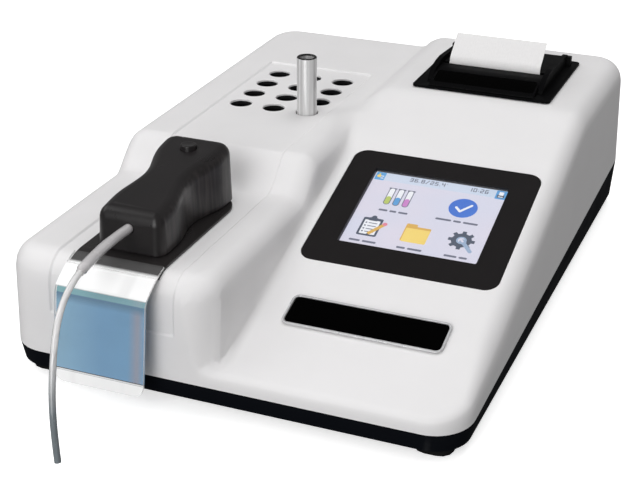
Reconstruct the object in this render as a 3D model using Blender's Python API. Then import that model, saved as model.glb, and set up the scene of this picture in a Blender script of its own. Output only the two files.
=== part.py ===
"""Bench-top semi-automatic chemistry analyzer, as separate pieces at real size.

Lengths are in metres. The body frame has its origin at the centre of the base pan's underside,
+X to the operator's right, +Y to the back and +Z up. One empty lifts it onto its feet.
"""
import math

import bmesh
import bpy
from mathutils import Matrix, Vector

# Driving dimensions of the body
BODY_WIDTH = 0.252
BODY_DEPTH = 0.364
CORNER_RADIUS = 0.021
WALL = 0.003
FOOT_HEIGHT = 0.006
PARTING_FRONT = 0.0099
PARTING_BACK = 0.0252
LOBE_HEIGHT = 0.0655
DECK_HEIGHT = 0.0828
PRINTER_DECK_HEIGHT = 0.091
CONSOLE_FRONT_HEIGHT = 0.0177964918
STEP_OFFSET = 0.1175
STEP_LENGTH = 0.026
CREASE_OFFSET = 0.120
CREASE_SOFTNESS = 0.005
DIVIDE_OFFSET = 0.057
DIVIDE_SHIFT = -0.006
DIVIDE_SHIFT_START = 0.0235
DIVIDE_SHIFT_LENGTH = 0.050
SHOULDER_RADIUS = 0.012
VALLEY_RADIUS = 0.006
LOBE_CORNER_RADIUS = 0.020
LOBE_FILLET = 0.016
CONSOLE_FILLET = 0.006
SIDE_FILLET = 0.012
BACK_FILLET = 0.009
MODULE_OFFSET = 0.065

# Edges and main places of the body, worked out from its driving dimensions
FRONT_Y = -BODY_DEPTH / 2
BACK_Y = BODY_DEPTH / 2
LEFT_X = -BODY_WIDTH / 2
RIGHT_X = BODY_WIDTH / 2
STEP_FRONT_Y = FRONT_Y + STEP_OFFSET
STEP_BACK_Y = STEP_FRONT_Y + STEP_LENGTH
CREASE_Y = BACK_Y - CREASE_OFFSET
CONSOLE_RUN = CREASE_Y - FRONT_Y
MODULE_X = LEFT_X + MODULE_OFFSET
DIVIDE_X = MODULE_X + DIVIDE_OFFSET
DIVIDE_SHIFT_FRONT_Y = STEP_BACK_Y + DIVIDE_SHIFT_START
DIVIDE_SHIFT_BACK_Y = DIVIDE_SHIFT_FRONT_Y + DIVIDE_SHIFT_LENGTH

# Angles
DRAFT_SLOPE = math.tan(math.radians(1.5))
CONSOLE_ANGLE = math.atan2(PRINTER_DECK_HEIGHT - CONSOLE_FRONT_HEIGHT, CONSOLE_RUN)
LEDGE_SLOPE = math.tan(math.radians(4))

# Clearances and counts
GAP = 0.0003
OVERRUN = 0.002
ROUND_SIDES = 24
FINE_SIDES = 32
SMALL_SIDES = 12
CORNER_STEPS = 5
FILLET_STEPS = 4
FILLET_SHARES = [1 - math.cos(math.radians(90) * step / FILLET_STEPS) for step in range(FILLET_STEPS + 1)]
SHEET_ROWS = 5

# Wells and the tube that stands in one of them
WELL_RADIUS = 0.00675
WELL_PITCH_X = 0.0219
WELL_PITCH_Y = 0.0200
WELL_COLUMNS = 3
WELL_ROWS_COUNT = 4
WELLS_OFFSET = 0.0642
WELL_FRONT_Y = STEP_BACK_Y + WELLS_OFFSET
TUBE_RADIUS = 0.006
TUBE_WALL = 0.001
TUBE_LENGTH = 0.075
TUBE_RISE = 0.034

# Channel that runs down the left side
CHANNEL_HALF_WIDTH = 0.0353
CHANNEL_DEPTH = 0.001
CHANNEL_SOFTNESS = 0.0016
CHANNEL_BACK_MARGIN = 0.0183
CHANNEL_BOTTOM_Z = 0.035
CHANNEL_BACK_Y = WELL_FRONT_Y + WELL_PITCH_Y * (WELL_ROWS_COUNT - 1) + CHANNEL_BACK_MARGIN

# Sipper module
COVER_SHIFT = 0.001
COVER_X = MODULE_X + COVER_SHIFT
MODULE_FRONT_OFFSET = 0.0209
MODULE_LENGTH = 0.0866
MODULE_FRONT_Y = FRONT_Y + MODULE_FRONT_OFFSET
MODULE_BACK_Y = MODULE_FRONT_Y + MODULE_LENGTH
MODULE_HALF_WIDTH = 0.0194
MODULE_BACK_SPREAD = 0.0013
MODULE_WAIST = 0.0045
MODULE_WAIST_OFFSET = 0.0437
MODULE_WAIST_Y = MODULE_FRONT_Y + MODULE_WAIST_OFFSET
MODULE_WAIST_REACH = 0.029
MODULE_BACK_TOP = 0.100
MODULE_FRONT_TOP = 0.088
MODULE_FILLET = 0.0066
MODULE_DRAFT = 0.0008
MODULE_FRONT_CORNER = 0.0061
MODULE_BACK_CORNER = 0.0086
MODULE_WALL = 0.002
PLATE_HALF_WIDTH = 0.0255
PLATE_THICKNESS = 0.0012
PLATE_CORNER = 0.0195
PLATE_BACK_Y = MODULE_BACK_Y + GAP
PLATE_FRONT_OFFSET = 0.019
PLATE_FLAT_FRONT_Y = FRONT_Y + PLATE_FRONT_OFFSET
PLATE_BEND_RADIUS = 0.030
PLATE_BEND = math.radians(24.4)
BUTTON_RADIUS = 0.0044
BUTTON_OFFSET = 0.0165
BUTTON_Y = MODULE_BACK_Y - BUTTON_OFFSET
BUTTON_PROUD = 0.0025
BUTTON_TRAVEL = 0.002

# Splash shield
SHIELD_THICKNESS = 0.0012
SHIELD_LAP = 0.007
SHIELD_RUN_RADIUS = 0.0663
SHIELD_RUN_LEAN = math.radians(36)
SHIELD_BEND_RADIUS = 0.007
SHIELD_LEAN = math.radians(82.2)
SHIELD_DROP = 0.046696
SHIELD_CORNER = 0.006
TINT_THICKNESS = 0.0008
TINT_BOTTOM_CLEAR = 0.0070

# Optics under the module
OPTICS_OFFSET = 0.0431
OPTICS_Y = MODULE_FRONT_Y + OPTICS_OFFSET
OPTIC_Z = 0.042

# Display and nameplate, measured along the sloping console
DISPLAY_MARGIN = 0.0116
DISPLAY_DIVIDE_GAP = 0.0076
DISPLAY_WIDTH = RIGHT_X - DISPLAY_MARGIN - DIVIDE_X - DISPLAY_DIVIDE_GAP
DISPLAY_LENGTH = 0.0979
DISPLAY_CORNER = 0.008
DISPLAY_PLACE_SHARE = 0.5622950820
DISPLAY_X = RIGHT_X - DISPLAY_MARGIN - DISPLAY_WIDTH / 2
DISPLAY_Y = FRONT_Y + CONSOLE_RUN * DISPLAY_PLACE_SHARE
DISPLAY_DEPTH = 0.003
SCREEN_SIDE_BORDER = 0.0161
SCREEN_WIDTH = DISPLAY_WIDTH - 2 * SCREEN_SIDE_BORDER
SCREEN_LENGTH = 0.0648
SCREEN_SHIFT = 0.0015
NAMEPLATE_SIDE_INSET = 0.0119
NAMEPLATE_WIDTH = DISPLAY_WIDTH - 2 * NAMEPLATE_SIDE_INSET
NAMEPLATE_LENGTH = 0.0219
NAMEPLATE_CORNER = 0.004
NAMEPLATE_SHIFT = -0.0012
NAMEPLATE_PLACE_SHARE = 0.2139344262
NAMEPLATE_X = DISPLAY_X + NAMEPLATE_SHIFT
NAMEPLATE_Y = FRONT_Y + CONSOLE_RUN * NAMEPLATE_PLACE_SHARE
NAMEPLATE_THICKNESS = 0.0012
NAMEPLATE_RIM = 0.0012

# Printer
PRINTER_SHIFT = -0.0030
PRINTER_SIDE_INSET = 0.01215
PRINTER_WIDTH = DISPLAY_WIDTH - 2 * PRINTER_SIDE_INSET
PRINTER_LENGTH = 0.0825
PRINTER_OFFSET = 0.0075
PRINTER_X = DISPLAY_X + PRINTER_SHIFT
PRINTER_FRONT_Y = CREASE_Y + PRINTER_OFFSET
PRINTER_BACK_Y = PRINTER_FRONT_Y + PRINTER_LENGTH
PRINTER_CORNER = 0.003
PRINTER_FLANGE = 0.0015
PRINTER_WALL = 0.0032
CHEEK_WIDTH = 0.0032
CHEEK_FRONT_OFFSET = 0.0105
CHEEK_ARCH_LENGTH = 0.024
CHEEK_BACK_MARGIN = 0.0075
SLOT_OFFSET = 0.032
CHEEK_FRONT_Y = PRINTER_FRONT_Y + CHEEK_FRONT_OFFSET
CHEEK_PEAK_Y = CHEEK_FRONT_Y + CHEEK_ARCH_LENGTH
CHEEK_BACK_Y = PRINTER_BACK_Y - CHEEK_BACK_MARGIN
SLOT_Y = PRINTER_FRONT_Y + SLOT_OFFSET
PAPER_SIDE_CLEAR = 0.01425
PAPER_WIDTH = PRINTER_WIDTH - 2 * PAPER_SIDE_CLEAR
PAPER_THICKNESS = 0.00025
ROLL_RADIUS = 0.0200
ROLL_CORE_RADIUS = 0.0060
PLATEN_RADIUS = 0.005

# Power supply, whose front edge also bounds the main board
SUPPLY_LENGTH = 0.078
SUPPLY_BACK_MARGIN = 0.032
SUPPLY_FRONT_Y = BACK_Y - SUPPLY_BACK_MARGIN - SUPPLY_LENGTH

# Rear panel
REAR_PANEL_WIDTH = 0.190
REAR_PANEL_HEIGHT = 0.044
REAR_PANEL_X = 0.004
REAR_PANEL_Z = 0.049
REAR_PANEL_THICKNESS = 0.0015

PALETTE = {
    "housing_white": ((0.80, 0.80, 0.81), 0.42, 0.0),
    "pan_black": ((0.012, 0.012, 0.013), 0.45, 0.0),
    "rubber_black": ((0.015, 0.015, 0.015), 0.85, 0.0),
    "module_black": ((0.022, 0.021, 0.022), 0.38, 0.0),
    "plate_dark": ((0.045, 0.042, 0.042), 0.40, 0.0),
    "bezel_black": ((0.010, 0.010, 0.011), 0.22, 0.0),
    "screen_glow": ((0.60, 0.64, 0.86), 0.30, 0.0),
    "clear_glass": ((0.86, 0.90, 0.92), 0.05, 0.0),
    "clear_plastic": ((0.88, 0.92, 0.94), 0.08, 0.0),
    "tint_blue": ((0.16, 0.42, 0.66), 0.12, 0.0),
    "tube_grey": ((0.55, 0.54, 0.56), 0.30, 0.0),
    "bright_metal": ((0.72, 0.73, 0.75), 0.20, 1.0),
    "aluminium": ((0.60, 0.61, 0.62), 0.35, 1.0),
    "steel": ((0.50, 0.50, 0.52), 0.32, 1.0),
    "board_green": ((0.03, 0.16, 0.07), 0.45, 0.0),
    "paper_white": ((0.84, 0.84, 0.84), 0.90, 0.0),
    "heater_amber": ((0.55, 0.28, 0.06), 0.45, 0.0),
    "part_grey": ((0.25, 0.25, 0.27), 0.50, 0.0),
}


# Shapes in plan and in section

def smooth_share(value):
    """0 below 0, 1 above 1 and a smooth ramp between."""
    value = min(max(value, 0), 1)
    return value * value * (3 - 2 * value)


def parting_height(y):
    """Height of the line where the housing meets the pan; it climbs to the back."""
    share = (y + BODY_DEPTH / 2) / BODY_DEPTH
    return PARTING_FRONT + (PARTING_BACK - PARTING_FRONT) * share


def left_height(y):
    """Lobe, S-shaped step and deck."""
    share = smooth_share((y - STEP_FRONT_Y) / (STEP_BACK_Y - STEP_FRONT_Y))
    return LOBE_HEIGHT + (DECK_HEIGHT - LOBE_HEIGHT) * share


def console_plane(y):
    """Height of the sloping console's flat part."""
    return PRINTER_DECK_HEIGHT - math.tan(CONSOLE_ANGLE) * (CREASE_Y - y)


def right_height(y):
    """Console slope that eases into the printer deck at the crease."""
    ahead = CREASE_Y - y
    eased = (ahead + math.hypot(ahead, CREASE_SOFTNESS)) / 2
    return PRINTER_DECK_HEIGHT - math.tan(CONSOLE_ANGLE) * eased


def divide_shift(y):
    """How far the divide between left side and console has moved to the left."""
    return DIVIDE_SHIFT * smooth_share((y - DIVIDE_SHIFT_FRONT_Y) / (DIVIDE_SHIFT_BACK_Y - DIVIDE_SHIFT_FRONT_Y))


def ledge_at(x, y):
    """Signed distance past the left side's right-hand edge, and the fillet radius there."""
    across = x - (DIVIDE_X - LOBE_CORNER_RADIUS)
    ahead = LOBE_CORNER_RADIUS - BODY_DEPTH / 2 - y
    if across > 0 and ahead > 0:
        reach = math.hypot(across, ahead)
        radius = SHOULDER_RADIUS + (LOBE_FILLET - SHOULDER_RADIUS) * (ahead / reach) ** 2
        return reach - LOBE_CORNER_RADIUS, radius
    return x - DIVIDE_X - divide_shift(y), SHOULDER_RADIUS


def ledge_drop(depth, past, convex, concave):
    """Drop of a ledge: a rounded edge, a nearly upright wall, then a hollow fillet; a low ledge is a soft ramp."""
    width = convex + concave
    if depth < width:
        ramp = depth * smooth_share((past + convex) / width)
        share = depth / width
        return ramp + (ledge_drop(width, past, convex, concave) * share - ramp) * share
    wall = (depth - width) * LEDGE_SLOPE
    if past <= -convex:
        return 0
    if past < 0:
        return convex - math.sqrt(convex ** 2 - (convex + past) ** 2)
    if past < wall:
        return convex + past / LEDGE_SLOPE
    if past < wall + concave:
        return depth - concave + math.sqrt(concave ** 2 - (wall + concave - past) ** 2)
    return depth


def top_height(x, y, inset=0):
    """Top of the housing over a plan point; inset moves it inwards by a wall."""
    left, right = left_height(y), right_height(y)
    past, radius = ledge_at(x, y)
    convex, concave = radius - inset, VALLEY_RADIUS + inset
    if left >= right:
        return left - ledge_drop(left - right, past + inset, convex, concave) - inset
    return right - ledge_drop(right - left, inset - past, convex, concave) - inset


def channel_share(x, y, z):
    """1 inside the shallow channel, 0 outside it, with soft edges."""
    share = 1
    for inside in (CHANNEL_HALF_WIDTH - abs(x - MODULE_X), CHANNEL_BACK_Y - y, z - CHANNEL_BOTTOM_Z):
        share *= smooth_share(1 / 2 + inside / CHANNEL_SOFTNESS)
    return share


def edge_fillet(x, y, normal):
    """Fillet radius along the plan outline, and how far in the fillet is sampled."""
    past, _ = ledge_at(x, y)
    side = SIDE_FILLET * normal.x ** 2
    if normal.y > 0:
        back = side + BACK_FILLET * normal.y ** 2
        return back, back
    corner_x = DIVIDE_X - LOBE_CORNER_RADIUS
    if x <= corner_x:
        front = side + LOBE_FILLET * normal.y ** 2
        return front, front
    share = smooth_share(past / VALLEY_RADIUS)
    sampled = side + (LOBE_FILLET + (CONSOLE_FILLET - LOBE_FILLET) * share) * normal.y ** 2
    return side + CONSOLE_FILLET * share * normal.y ** 2, sampled


def rounded_outline(width, depth, radius, steps=CORNER_STEPS):
    """Points of a rounded rectangle, anticlockwise."""
    points = []
    for turn, (side_x, side_y) in enumerate(((1, 1), (-1, 1), (-1, -1), (1, -1))):
        for step in range(steps + 1):
            angle = math.radians(90) * (turn + step / steps)
            points.append((side_x * (width / 2 - radius) + radius * math.cos(angle),
                           side_y * (depth / 2 - radius) + radius * math.sin(angle)))
    return points


def module_half_width(y):
    """The cover's half width: drawn in at its waist."""
    share = min(abs(y - MODULE_WAIST_Y) / MODULE_WAIST_REACH, 1)
    spread = MODULE_BACK_SPREAD * smooth_share((y - MODULE_WAIST_Y) / MODULE_WAIST_REACH)
    return MODULE_HALF_WIDTH + spread - MODULE_WAIST * (1 + math.cos(math.pi * share)) / 2


def module_top(y):
    """The cover's sloping top."""
    share = (y - MODULE_FRONT_Y) / (MODULE_BACK_Y - MODULE_FRONT_Y)
    return MODULE_FRONT_TOP + (MODULE_BACK_TOP - MODULE_FRONT_TOP) * share


def module_outline(inset, flank_steps=12):
    """Plan of the cover, anticlockwise from the middle of its right flank's front end."""
    front, back = MODULE_FRONT_Y + inset, MODULE_BACK_Y - inset
    corner = max(MODULE_FRONT_CORNER - inset, GAP)
    back_corner = max(MODULE_BACK_CORNER - inset, GAP)
    right = []
    for step in range(CORNER_STEPS + 1):
        angle = math.radians(90) * (step / CORNER_STEPS - 1)
        y = front + corner + corner * math.sin(angle)
        right.append((module_half_width(y) - inset - corner + corner * math.cos(angle), y))
    for step in range(1, flank_steps):
        y = front + corner + (back - front - corner - back_corner) * step / flank_steps
        right.append((module_half_width(y) - inset, y))
    for step in range(CORNER_STEPS + 1):
        angle = math.radians(90) * step / CORNER_STEPS
        y = back - back_corner + back_corner * math.sin(angle)
        right.append((module_half_width(y) - inset - back_corner + back_corner * math.cos(angle), y))
    left = [(-x, y) for x, y in reversed(right)]
    return [(COVER_X + x, y) for x, y in right + left]


def bent_on(path, radius, lean):
    """A side profile carried on over an arc until it leans this much."""
    y, z, start = path[-1]
    bend = []
    for step in range(1, SHEET_ROWS + 1):
        tilt = start + (lean - start) * step / SHEET_ROWS
        bend.append((y - radius * (math.sin(tilt) - math.sin(start)),
                     z - radius * (math.cos(start) - math.cos(tilt)), tilt))
    return path + bend


def shield_path():
    """Side profile of plate front and shield: (y, z, tilt) along its lower face."""
    floor = LOBE_HEIGHT - CHANNEL_DEPTH + GAP
    plate = []
    for step in range(SHEET_ROWS + 1):
        tilt = PLATE_BEND * step / SHEET_ROWS
        plate.append((PLATE_FLAT_FRONT_Y - PLATE_BEND_RADIUS * math.sin(tilt),
                      floor - PLATE_BEND_RADIUS * (1 - math.cos(tilt)), tilt))
    lift = PLATE_THICKNESS + GAP
    lap = SHIELD_LAP / (PLATE_BEND_RADIUS + lift)
    shield = []
    for tilt in (PLATE_BEND - lap, PLATE_BEND - lap / 2, PLATE_BEND):
        reach = PLATE_BEND_RADIUS + lift
        shield.append((PLATE_FLAT_FRONT_Y - reach * math.sin(tilt),
                       floor - PLATE_BEND_RADIUS + reach * math.cos(tilt), tilt))
    shield = bent_on(shield, SHIELD_RUN_RADIUS, SHIELD_RUN_LEAN)
    shield = bent_on(shield, SHIELD_BEND_RADIUS, SHIELD_LEAN)
    y, z, tilt = shield[-1]
    shield.append((y - SHIELD_DROP * math.cos(tilt), z - SHIELD_DROP * math.sin(tilt), tilt))
    return plate, shield


SHIELD_FRONT_Y = shield_path()[1][-1][0] - SHIELD_THICKNESS * math.sin(SHIELD_LEAN)
BODY_Y = -(BODY_DEPTH / 2 + SHIELD_FRONT_Y) / 2


# Mesh helpers

def closed(bm):
    """Points every face of a closed mesh outwards."""
    bmesh.ops.recalc_face_normals(bm, faces=bm.faces)
    return bm


def block(low, high):
    """A box between two corners."""
    bm = bmesh.new()
    corners = [bm.verts.new((x, y, z)) for x in (low[0], high[0]) for y in (low[1], high[1])
               for z in (low[2], high[2])]
    for loop in ((0, 1, 3, 2), (4, 6, 7, 5), (0, 4, 5, 1), (2, 3, 7, 6), (0, 2, 6, 4), (1, 5, 7, 3)):
        bm.faces.new([corners[index] for index in loop])
    return closed(bm)


def stacked(rings, bm=None):
    """A closed solid through rings of points, capped at its first and last ring."""
    bm = bm or bmesh.new()
    loops = [[bm.verts.new(point) for point in ring] for ring in rings]
    count = len(loops[0])
    for lower, upper in zip(loops, loops[1:]):
        for index in range(count):
            after = (index + 1) % count
            bm.faces.new((lower[index], lower[after], upper[after], upper[index]))
    bm.faces.new(loops[0])
    bm.faces.new(loops[-1])
    return closed(bm)


def prism(outline, low, high, frame=None):
    """An outline in a frame's XY plane, drawn out between two heights."""
    bm = stacked([[(x, y, height) for x, y in outline] for height in (low, high)])
    if frame:
        bm.transform(frame)
    return bm


def turned(profile, centre, axis="Z", sides=ROUND_SIDES):
    """A solid turned about an axis through centre, from (radius, height) points in order."""
    bm = bmesh.new()
    rings = []
    for radius, height in profile:
        if radius == 0:
            rings.append([bm.verts.new((0, 0, height))])
            continue
        ring = []
        for side in range(sides):
            angle = 2 * math.pi * (side + 1 / 2) / sides
            ring.append(bm.verts.new((radius * math.cos(angle), radius * math.sin(angle), height)))
        rings.append(ring)
    pairs = list(zip(rings, rings[1:]))
    if profile[0][0] and profile[-1][0]:
        pairs.append((rings[-1], rings[0]))
    for first, second in pairs:
        for side in range(sides):
            after = (side + 1) % sides
            corners = [first[side % len(first)], first[after % len(first)],
                       second[after % len(second)], second[side % len(second)]]
            bm.faces.new(list(dict.fromkeys(corners)))
    turn = {"X": Matrix.Rotation(math.radians(90), 4, "Y"), "Y": Matrix.Rotation(math.radians(-90), 4, "X"),
            "Z": Matrix.Identity(4)}[axis]
    bm.transform(Matrix.Translation(centre) @ turn)
    return closed(bm)


def rod(radius, centre, low, high, axis="Z", sides=ROUND_SIDES):
    """A plain cylinder between two heights along its axis."""
    return turned([(0, low), (radius, low), (radius, high), (0, high)], centre, axis, sides)


def ring(outer, inner, centre, low, high, axis="Z", sides=ROUND_SIDES):
    """A tube with an open bore."""
    return turned([(inner, low), (outer, low), (outer, high), (inner, high)], centre, axis, sides)


def sheet(rows, thickness):
    """A closed sheet of even thickness above rows of (x, y, z, tilt) points."""
    bm = bmesh.new()
    layers = []
    for lift in (0, thickness):
        layers.append([[bm.verts.new((x, y - lift * math.sin(tilt), z + lift * math.cos(tilt)))
                        for x, y, z, tilt in row] for row in rows])
    across = len(rows[0])
    for layer in layers:
        for near, far in zip(layer, layer[1:]):
            for index in range(across - 1):
                bm.faces.new((near[index], near[index + 1], far[index + 1], far[index]))
    lower, upper = layers
    for side in (0, -1):
        for near, far, near_up, far_up in zip(lower, lower[1:], upper, upper[1:]):
            bm.faces.new((near[side], far[side], far_up[side], near_up[side]))
        for index in range(across - 1):
            bm.faces.new((lower[side][index], lower[side][index + 1],
                          upper[side][index + 1], upper[side][index]))
    return closed(bm)


def merged(*shapes):
    """Several separate closed shapes in one mesh, for a cutter."""
    bm = bmesh.new()
    for shape in shapes:
        mesh = bpy.data.meshes.new("shape")
        shape.to_mesh(mesh)
        bm.from_mesh(mesh)
        shape.free()
        bpy.data.meshes.remove(mesh)
    return bm


def console_frame(x, y, lift=0):
    """A frame on the console's slope: X across, Y up the slope, Z out of it."""
    place = Matrix.Translation((x, y, console_plane(y)))
    return place @ Matrix.Rotation(CONSOLE_ANGLE, 4, "X") @ Matrix.Translation((0, 0, lift))


# Objects

def make_material(name):
    """A plain shader in the palette's colour."""
    colour, roughness, metallic = PALETTE[name]
    material = bpy.data.materials.new(name)
    material.use_nodes = True
    shader = material.node_tree.nodes["Principled BSDF"]
    shader.inputs["Base Color"].default_value = (*colour, 1)
    shader.inputs["Roughness"].default_value = roughness
    shader.inputs["Metallic"].default_value = metallic
    return material


def mesh_object(name, bm, body):
    """An object of this mesh, with its origin where its body's empty stands."""
    origin = body.matrix_world.translation - analyzer.matrix_world.translation
    bm.transform(Matrix.Translation(-origin))
    mesh = bpy.data.meshes.new(name)
    bm.to_mesh(mesh)
    bm.free()
    thing = bpy.data.objects.new(name, mesh)
    bpy.context.scene.collection.objects.link(thing)
    thing.parent = body
    return thing


def add_piece(name, material, shape, body, cuts=(), unions=()):
    """One named piece; cuts and unions are Boolean steps that stay on it."""
    thing = mesh_object(name, shape, body)
    steps = [("UNION", tool) for tool in unions] + [("DIFFERENCE", tool) for tool in cuts]
    for number, (operation, tool) in enumerate(steps):
        helper = mesh_object(f"{name}_tool_{number}", tool, body)
        helper.hide_render = True
        helper.display_type = "WIRE"
        modifier = thing.modifiers.new(f"{operation.lower()}_{number}", "BOOLEAN")
        modifier.operation = operation
        modifier.object = helper
        modifier.solver = "EXACT"
    thing.data.shade_smooth()
    thing.data.set_sharp_from_angle(angle=math.radians(35))
    thing.data.materials.append(make_material(material))
    return thing


def add_cord(name, material, points, radius, body, sides_step=2):
    """A round tube along points, with closed ends."""
    origin = body.matrix_world.translation - analyzer.matrix_world.translation
    curve = bpy.data.curves.new(name, "CURVE")
    curve.dimensions = "3D"
    curve.bevel_depth = radius
    curve.bevel_resolution = sides_step
    curve.use_fill_caps = True
    spline = curve.splines.new("POLY")
    spline.points.add(len(points) - 1)
    for target, point in zip(spline.points, points):
        target.co = (*(Vector(point) - origin), 1)
    thing = bpy.data.objects.new(name, curve)
    bpy.context.scene.collection.objects.link(thing)
    thing.parent = body
    curve.materials.append(make_material(material))
    return thing


def add_body(name, origin, parent):
    """The empty that carries a moving body, on its joint's axis."""
    empty = bpy.data.objects.new(name, None)
    bpy.context.scene.collection.objects.link(empty)
    empty.parent = parent
    empty.location = Vector(origin) - (parent.matrix_world.translation - analyzer.matrix_world.translation)
    bpy.context.view_layer.update()
    return empty


def clear_scene():
    """Removes whatever the scene holds."""
    for thing in list(bpy.data.objects):
        bpy.data.objects.remove(thing, do_unlink=True)


# Housing

def grid_lines(low, high, wanted):
    """Sorted grid lines from low to high, without lines that nearly touch."""
    lines = [low]
    for value in sorted(wanted):
        if value - lines[-1] > GAP and high - value > GAP:
            lines.append(value)
    return lines + [high]


def housing_lines():
    """Grid lines of the housing's top, close together where its shape turns."""
    half_x = BODY_WIDTH / 2 - CORNER_RADIUS
    half_y = BODY_DEPTH / 2 - CORNER_RADIUS
    across = [DIVIDE_X - SHOULDER_RADIUS * share for share in (1, 0.7, 0.4, 0.18, 0.04)]
    across += [DIVIDE_X + VALLEY_RADIUS * share for share in (0, 0.35, 0.7, 1.1, 1.6, 2.4)]
    across += [DIVIDE_X - LOBE_CORNER_RADIUS * share for share in (0.8, 1)]
    for side in (-1, 1):
        edge = MODULE_X + side * CHANNEL_HALF_WIDTH
        across += [edge - CHANNEL_SOFTNESS / 2, edge + CHANNEL_SOFTNESS / 2]
    across += [MODULE_X, BODY_WIDTH / 4]
    step = STEP_BACK_Y - STEP_FRONT_Y
    along = [STEP_FRONT_Y + step * share for share in (0, 0.15, 0.32, 0.5, 0.68, 0.85, 1)]
    along += [CREASE_Y + CREASE_SOFTNESS * share for share in (-2, -0.8, 0, 0.8, 2)]
    level = CREASE_Y - (PRINTER_DECK_HEIGHT - DECK_HEIGHT) / math.tan(CONSOLE_ANGLE)
    along += [level + CREASE_SOFTNESS * share for share in (-4, -2, 0, 2)]
    along += [CHANNEL_BACK_Y - CHANNEL_SOFTNESS / 2, CHANNEL_BACK_Y + CHANNEL_SOFTNESS / 2]
    along += [STEP_FRONT_Y - half_y / 4]
    shift = DIVIDE_SHIFT_BACK_Y - DIVIDE_SHIFT_FRONT_Y
    along += [DIVIDE_SHIFT_FRONT_Y + shift * share for share in (0, 0.25, 0.5, 0.75, 1)]
    return grid_lines(-half_x, half_x, across), grid_lines(-half_y, half_y, along)


def grid_place(x, y):
    """Plan point of a grid node: lines near the divide follow it as it moves."""
    left = (x - DIVIDE_X + LOBE_CORNER_RADIUS) / (LOBE_CORNER_RADIUS - SHOULDER_RADIUS)
    right = (BODY_WIDTH / 4 - x) / (BODY_WIDTH / 4 - DIVIDE_X - SHOULDER_RADIUS)
    return x + divide_shift(y) * max(min(left, right, 1), 0), y


def housing_columns(lines_x, lines_y):
    """Border columns round the plan: (grid index x, grid index y, outward normal)."""
    last_x, last_y = len(lines_x) - 1, len(lines_y) - 1
    columns = []

    def fan(i, j, start):
        for step in range(1, CORNER_STEPS):
            angle = math.radians(start + 90 * step / CORNER_STEPS)
            columns.append((i, j, Vector((math.cos(angle), math.sin(angle)))))

    columns += [(i, 0, Vector((0, -1))) for i in range(last_x + 1)]
    fan(last_x, 0, -90)
    columns += [(last_x, j, Vector((1, 0))) for j in range(last_y + 1)]
    fan(last_x, last_y, 0)
    columns += [(i, last_y, Vector((0, 1))) for i in range(last_x, -1, -1)]
    fan(0, last_y, 90)
    columns += [(0, j, Vector((-1, 0))) for j in range(last_y, -1, -1)]
    fan(0, 0, 180)
    return columns


def ledge_crossings(x, inset):
    """How far in a front column crosses the ledge's contours, from its hollow to its shoulder."""
    reach = LOBE_CORNER_RADIUS - inset
    across = x - (DIVIDE_X - LOBE_CORNER_RADIUS)
    wall = LEDGE_SLOPE * (LOBE_HEIGHT - PARTING_BACK)
    contours = [wall + (VALLEY_RADIUS + inset) * share for share in FILLET_SHARES]
    contours += [-(SHOULDER_RADIUS - inset) * share for share in FILLET_SHARES]
    return [reach - math.sqrt((reach + past) ** 2 - across ** 2)
            for past in contours if across > 0 and reach + past > across]


def border_points(corner, normal, inset):
    """One column of housing points, from the parting line up and in over the fillet."""
    reach = CORNER_RADIUS - inset
    edge = corner + normal * reach
    fillet, sampled = edge_fillet(edge.x, edge.y, normal)
    base = parting_height(edge.y) + GAP / 2
    rim = top_height(edge.x, edge.y, inset)
    fillet = min(max(fillet - inset, 0), (rim - base) / 2)
    sampled = max(sampled - inset, GAP)
    wanted = [sampled * share for share in FILLET_SHARES]
    grooved = normal.y < 0 and edge.x < DIVIDE_X
    if normal.y < 0:
        wanted += ledge_crossings(edge.x, inset)
    heights = [base, (base + rim - fillet) / 2]
    if grooved and rim - fillet > CHANNEL_BOTTOM_Z + CHANNEL_SOFTNESS:
        heights = [base, CHANNEL_BOTTOM_Z - CHANNEL_SOFTNESS / 2, CHANNEL_BOTTOM_Z + CHANNEL_SOFTNESS / 2]
    points = [(0, height) for height in heights]
    for inward in grid_lines(0, reach, wanted)[:-1]:
        spot = edge - normal * inward
        short = max(fillet - inward, 0)
        drop = fillet - math.sqrt(fillet ** 2 - short ** 2)
        points.append((inward, top_height(spot.x, spot.y, inset) - drop))
    column = []
    for inward, height in points:
        spot = edge - normal * inward
        groove = CHANNEL_DEPTH * channel_share(spot.x, spot.y, height) if normal.y <= 0 else 0
        lean = DRAFT_SLOPE * (height - base) * (1 - inward / reach)
        over = min(inward / sampled, 1)
        spot -= normal * (lean + groove * (1 - over))
        column.append((spot.x, spot.y, height - groove * over))
    return column


def laced(bm, first, second):
    """Faces between two columns: straight across when they match, or over the shorter diagonals."""
    if len(first) == len(second):
        for low, high, low_next, high_next in zip(first, first[1:], second, second[1:]):
            bm.faces.new(list(dict.fromkeys((low, low_next, high_next, high))))
        return
    i = j = 0
    while i < len(first) - 1 or j < len(second) - 1:
        ahead = (first[i + 1].co - second[j].co).length if i < len(first) - 1 else math.inf
        beside = (first[i].co - second[j + 1].co).length if j < len(second) - 1 else math.inf
        if ahead < beside:
            bm.faces.new((first[i], second[j], first[i + 1]))
            i += 1
        else:
            bm.faces.new((first[i], second[j], second[j + 1]))
            j += 1


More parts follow.
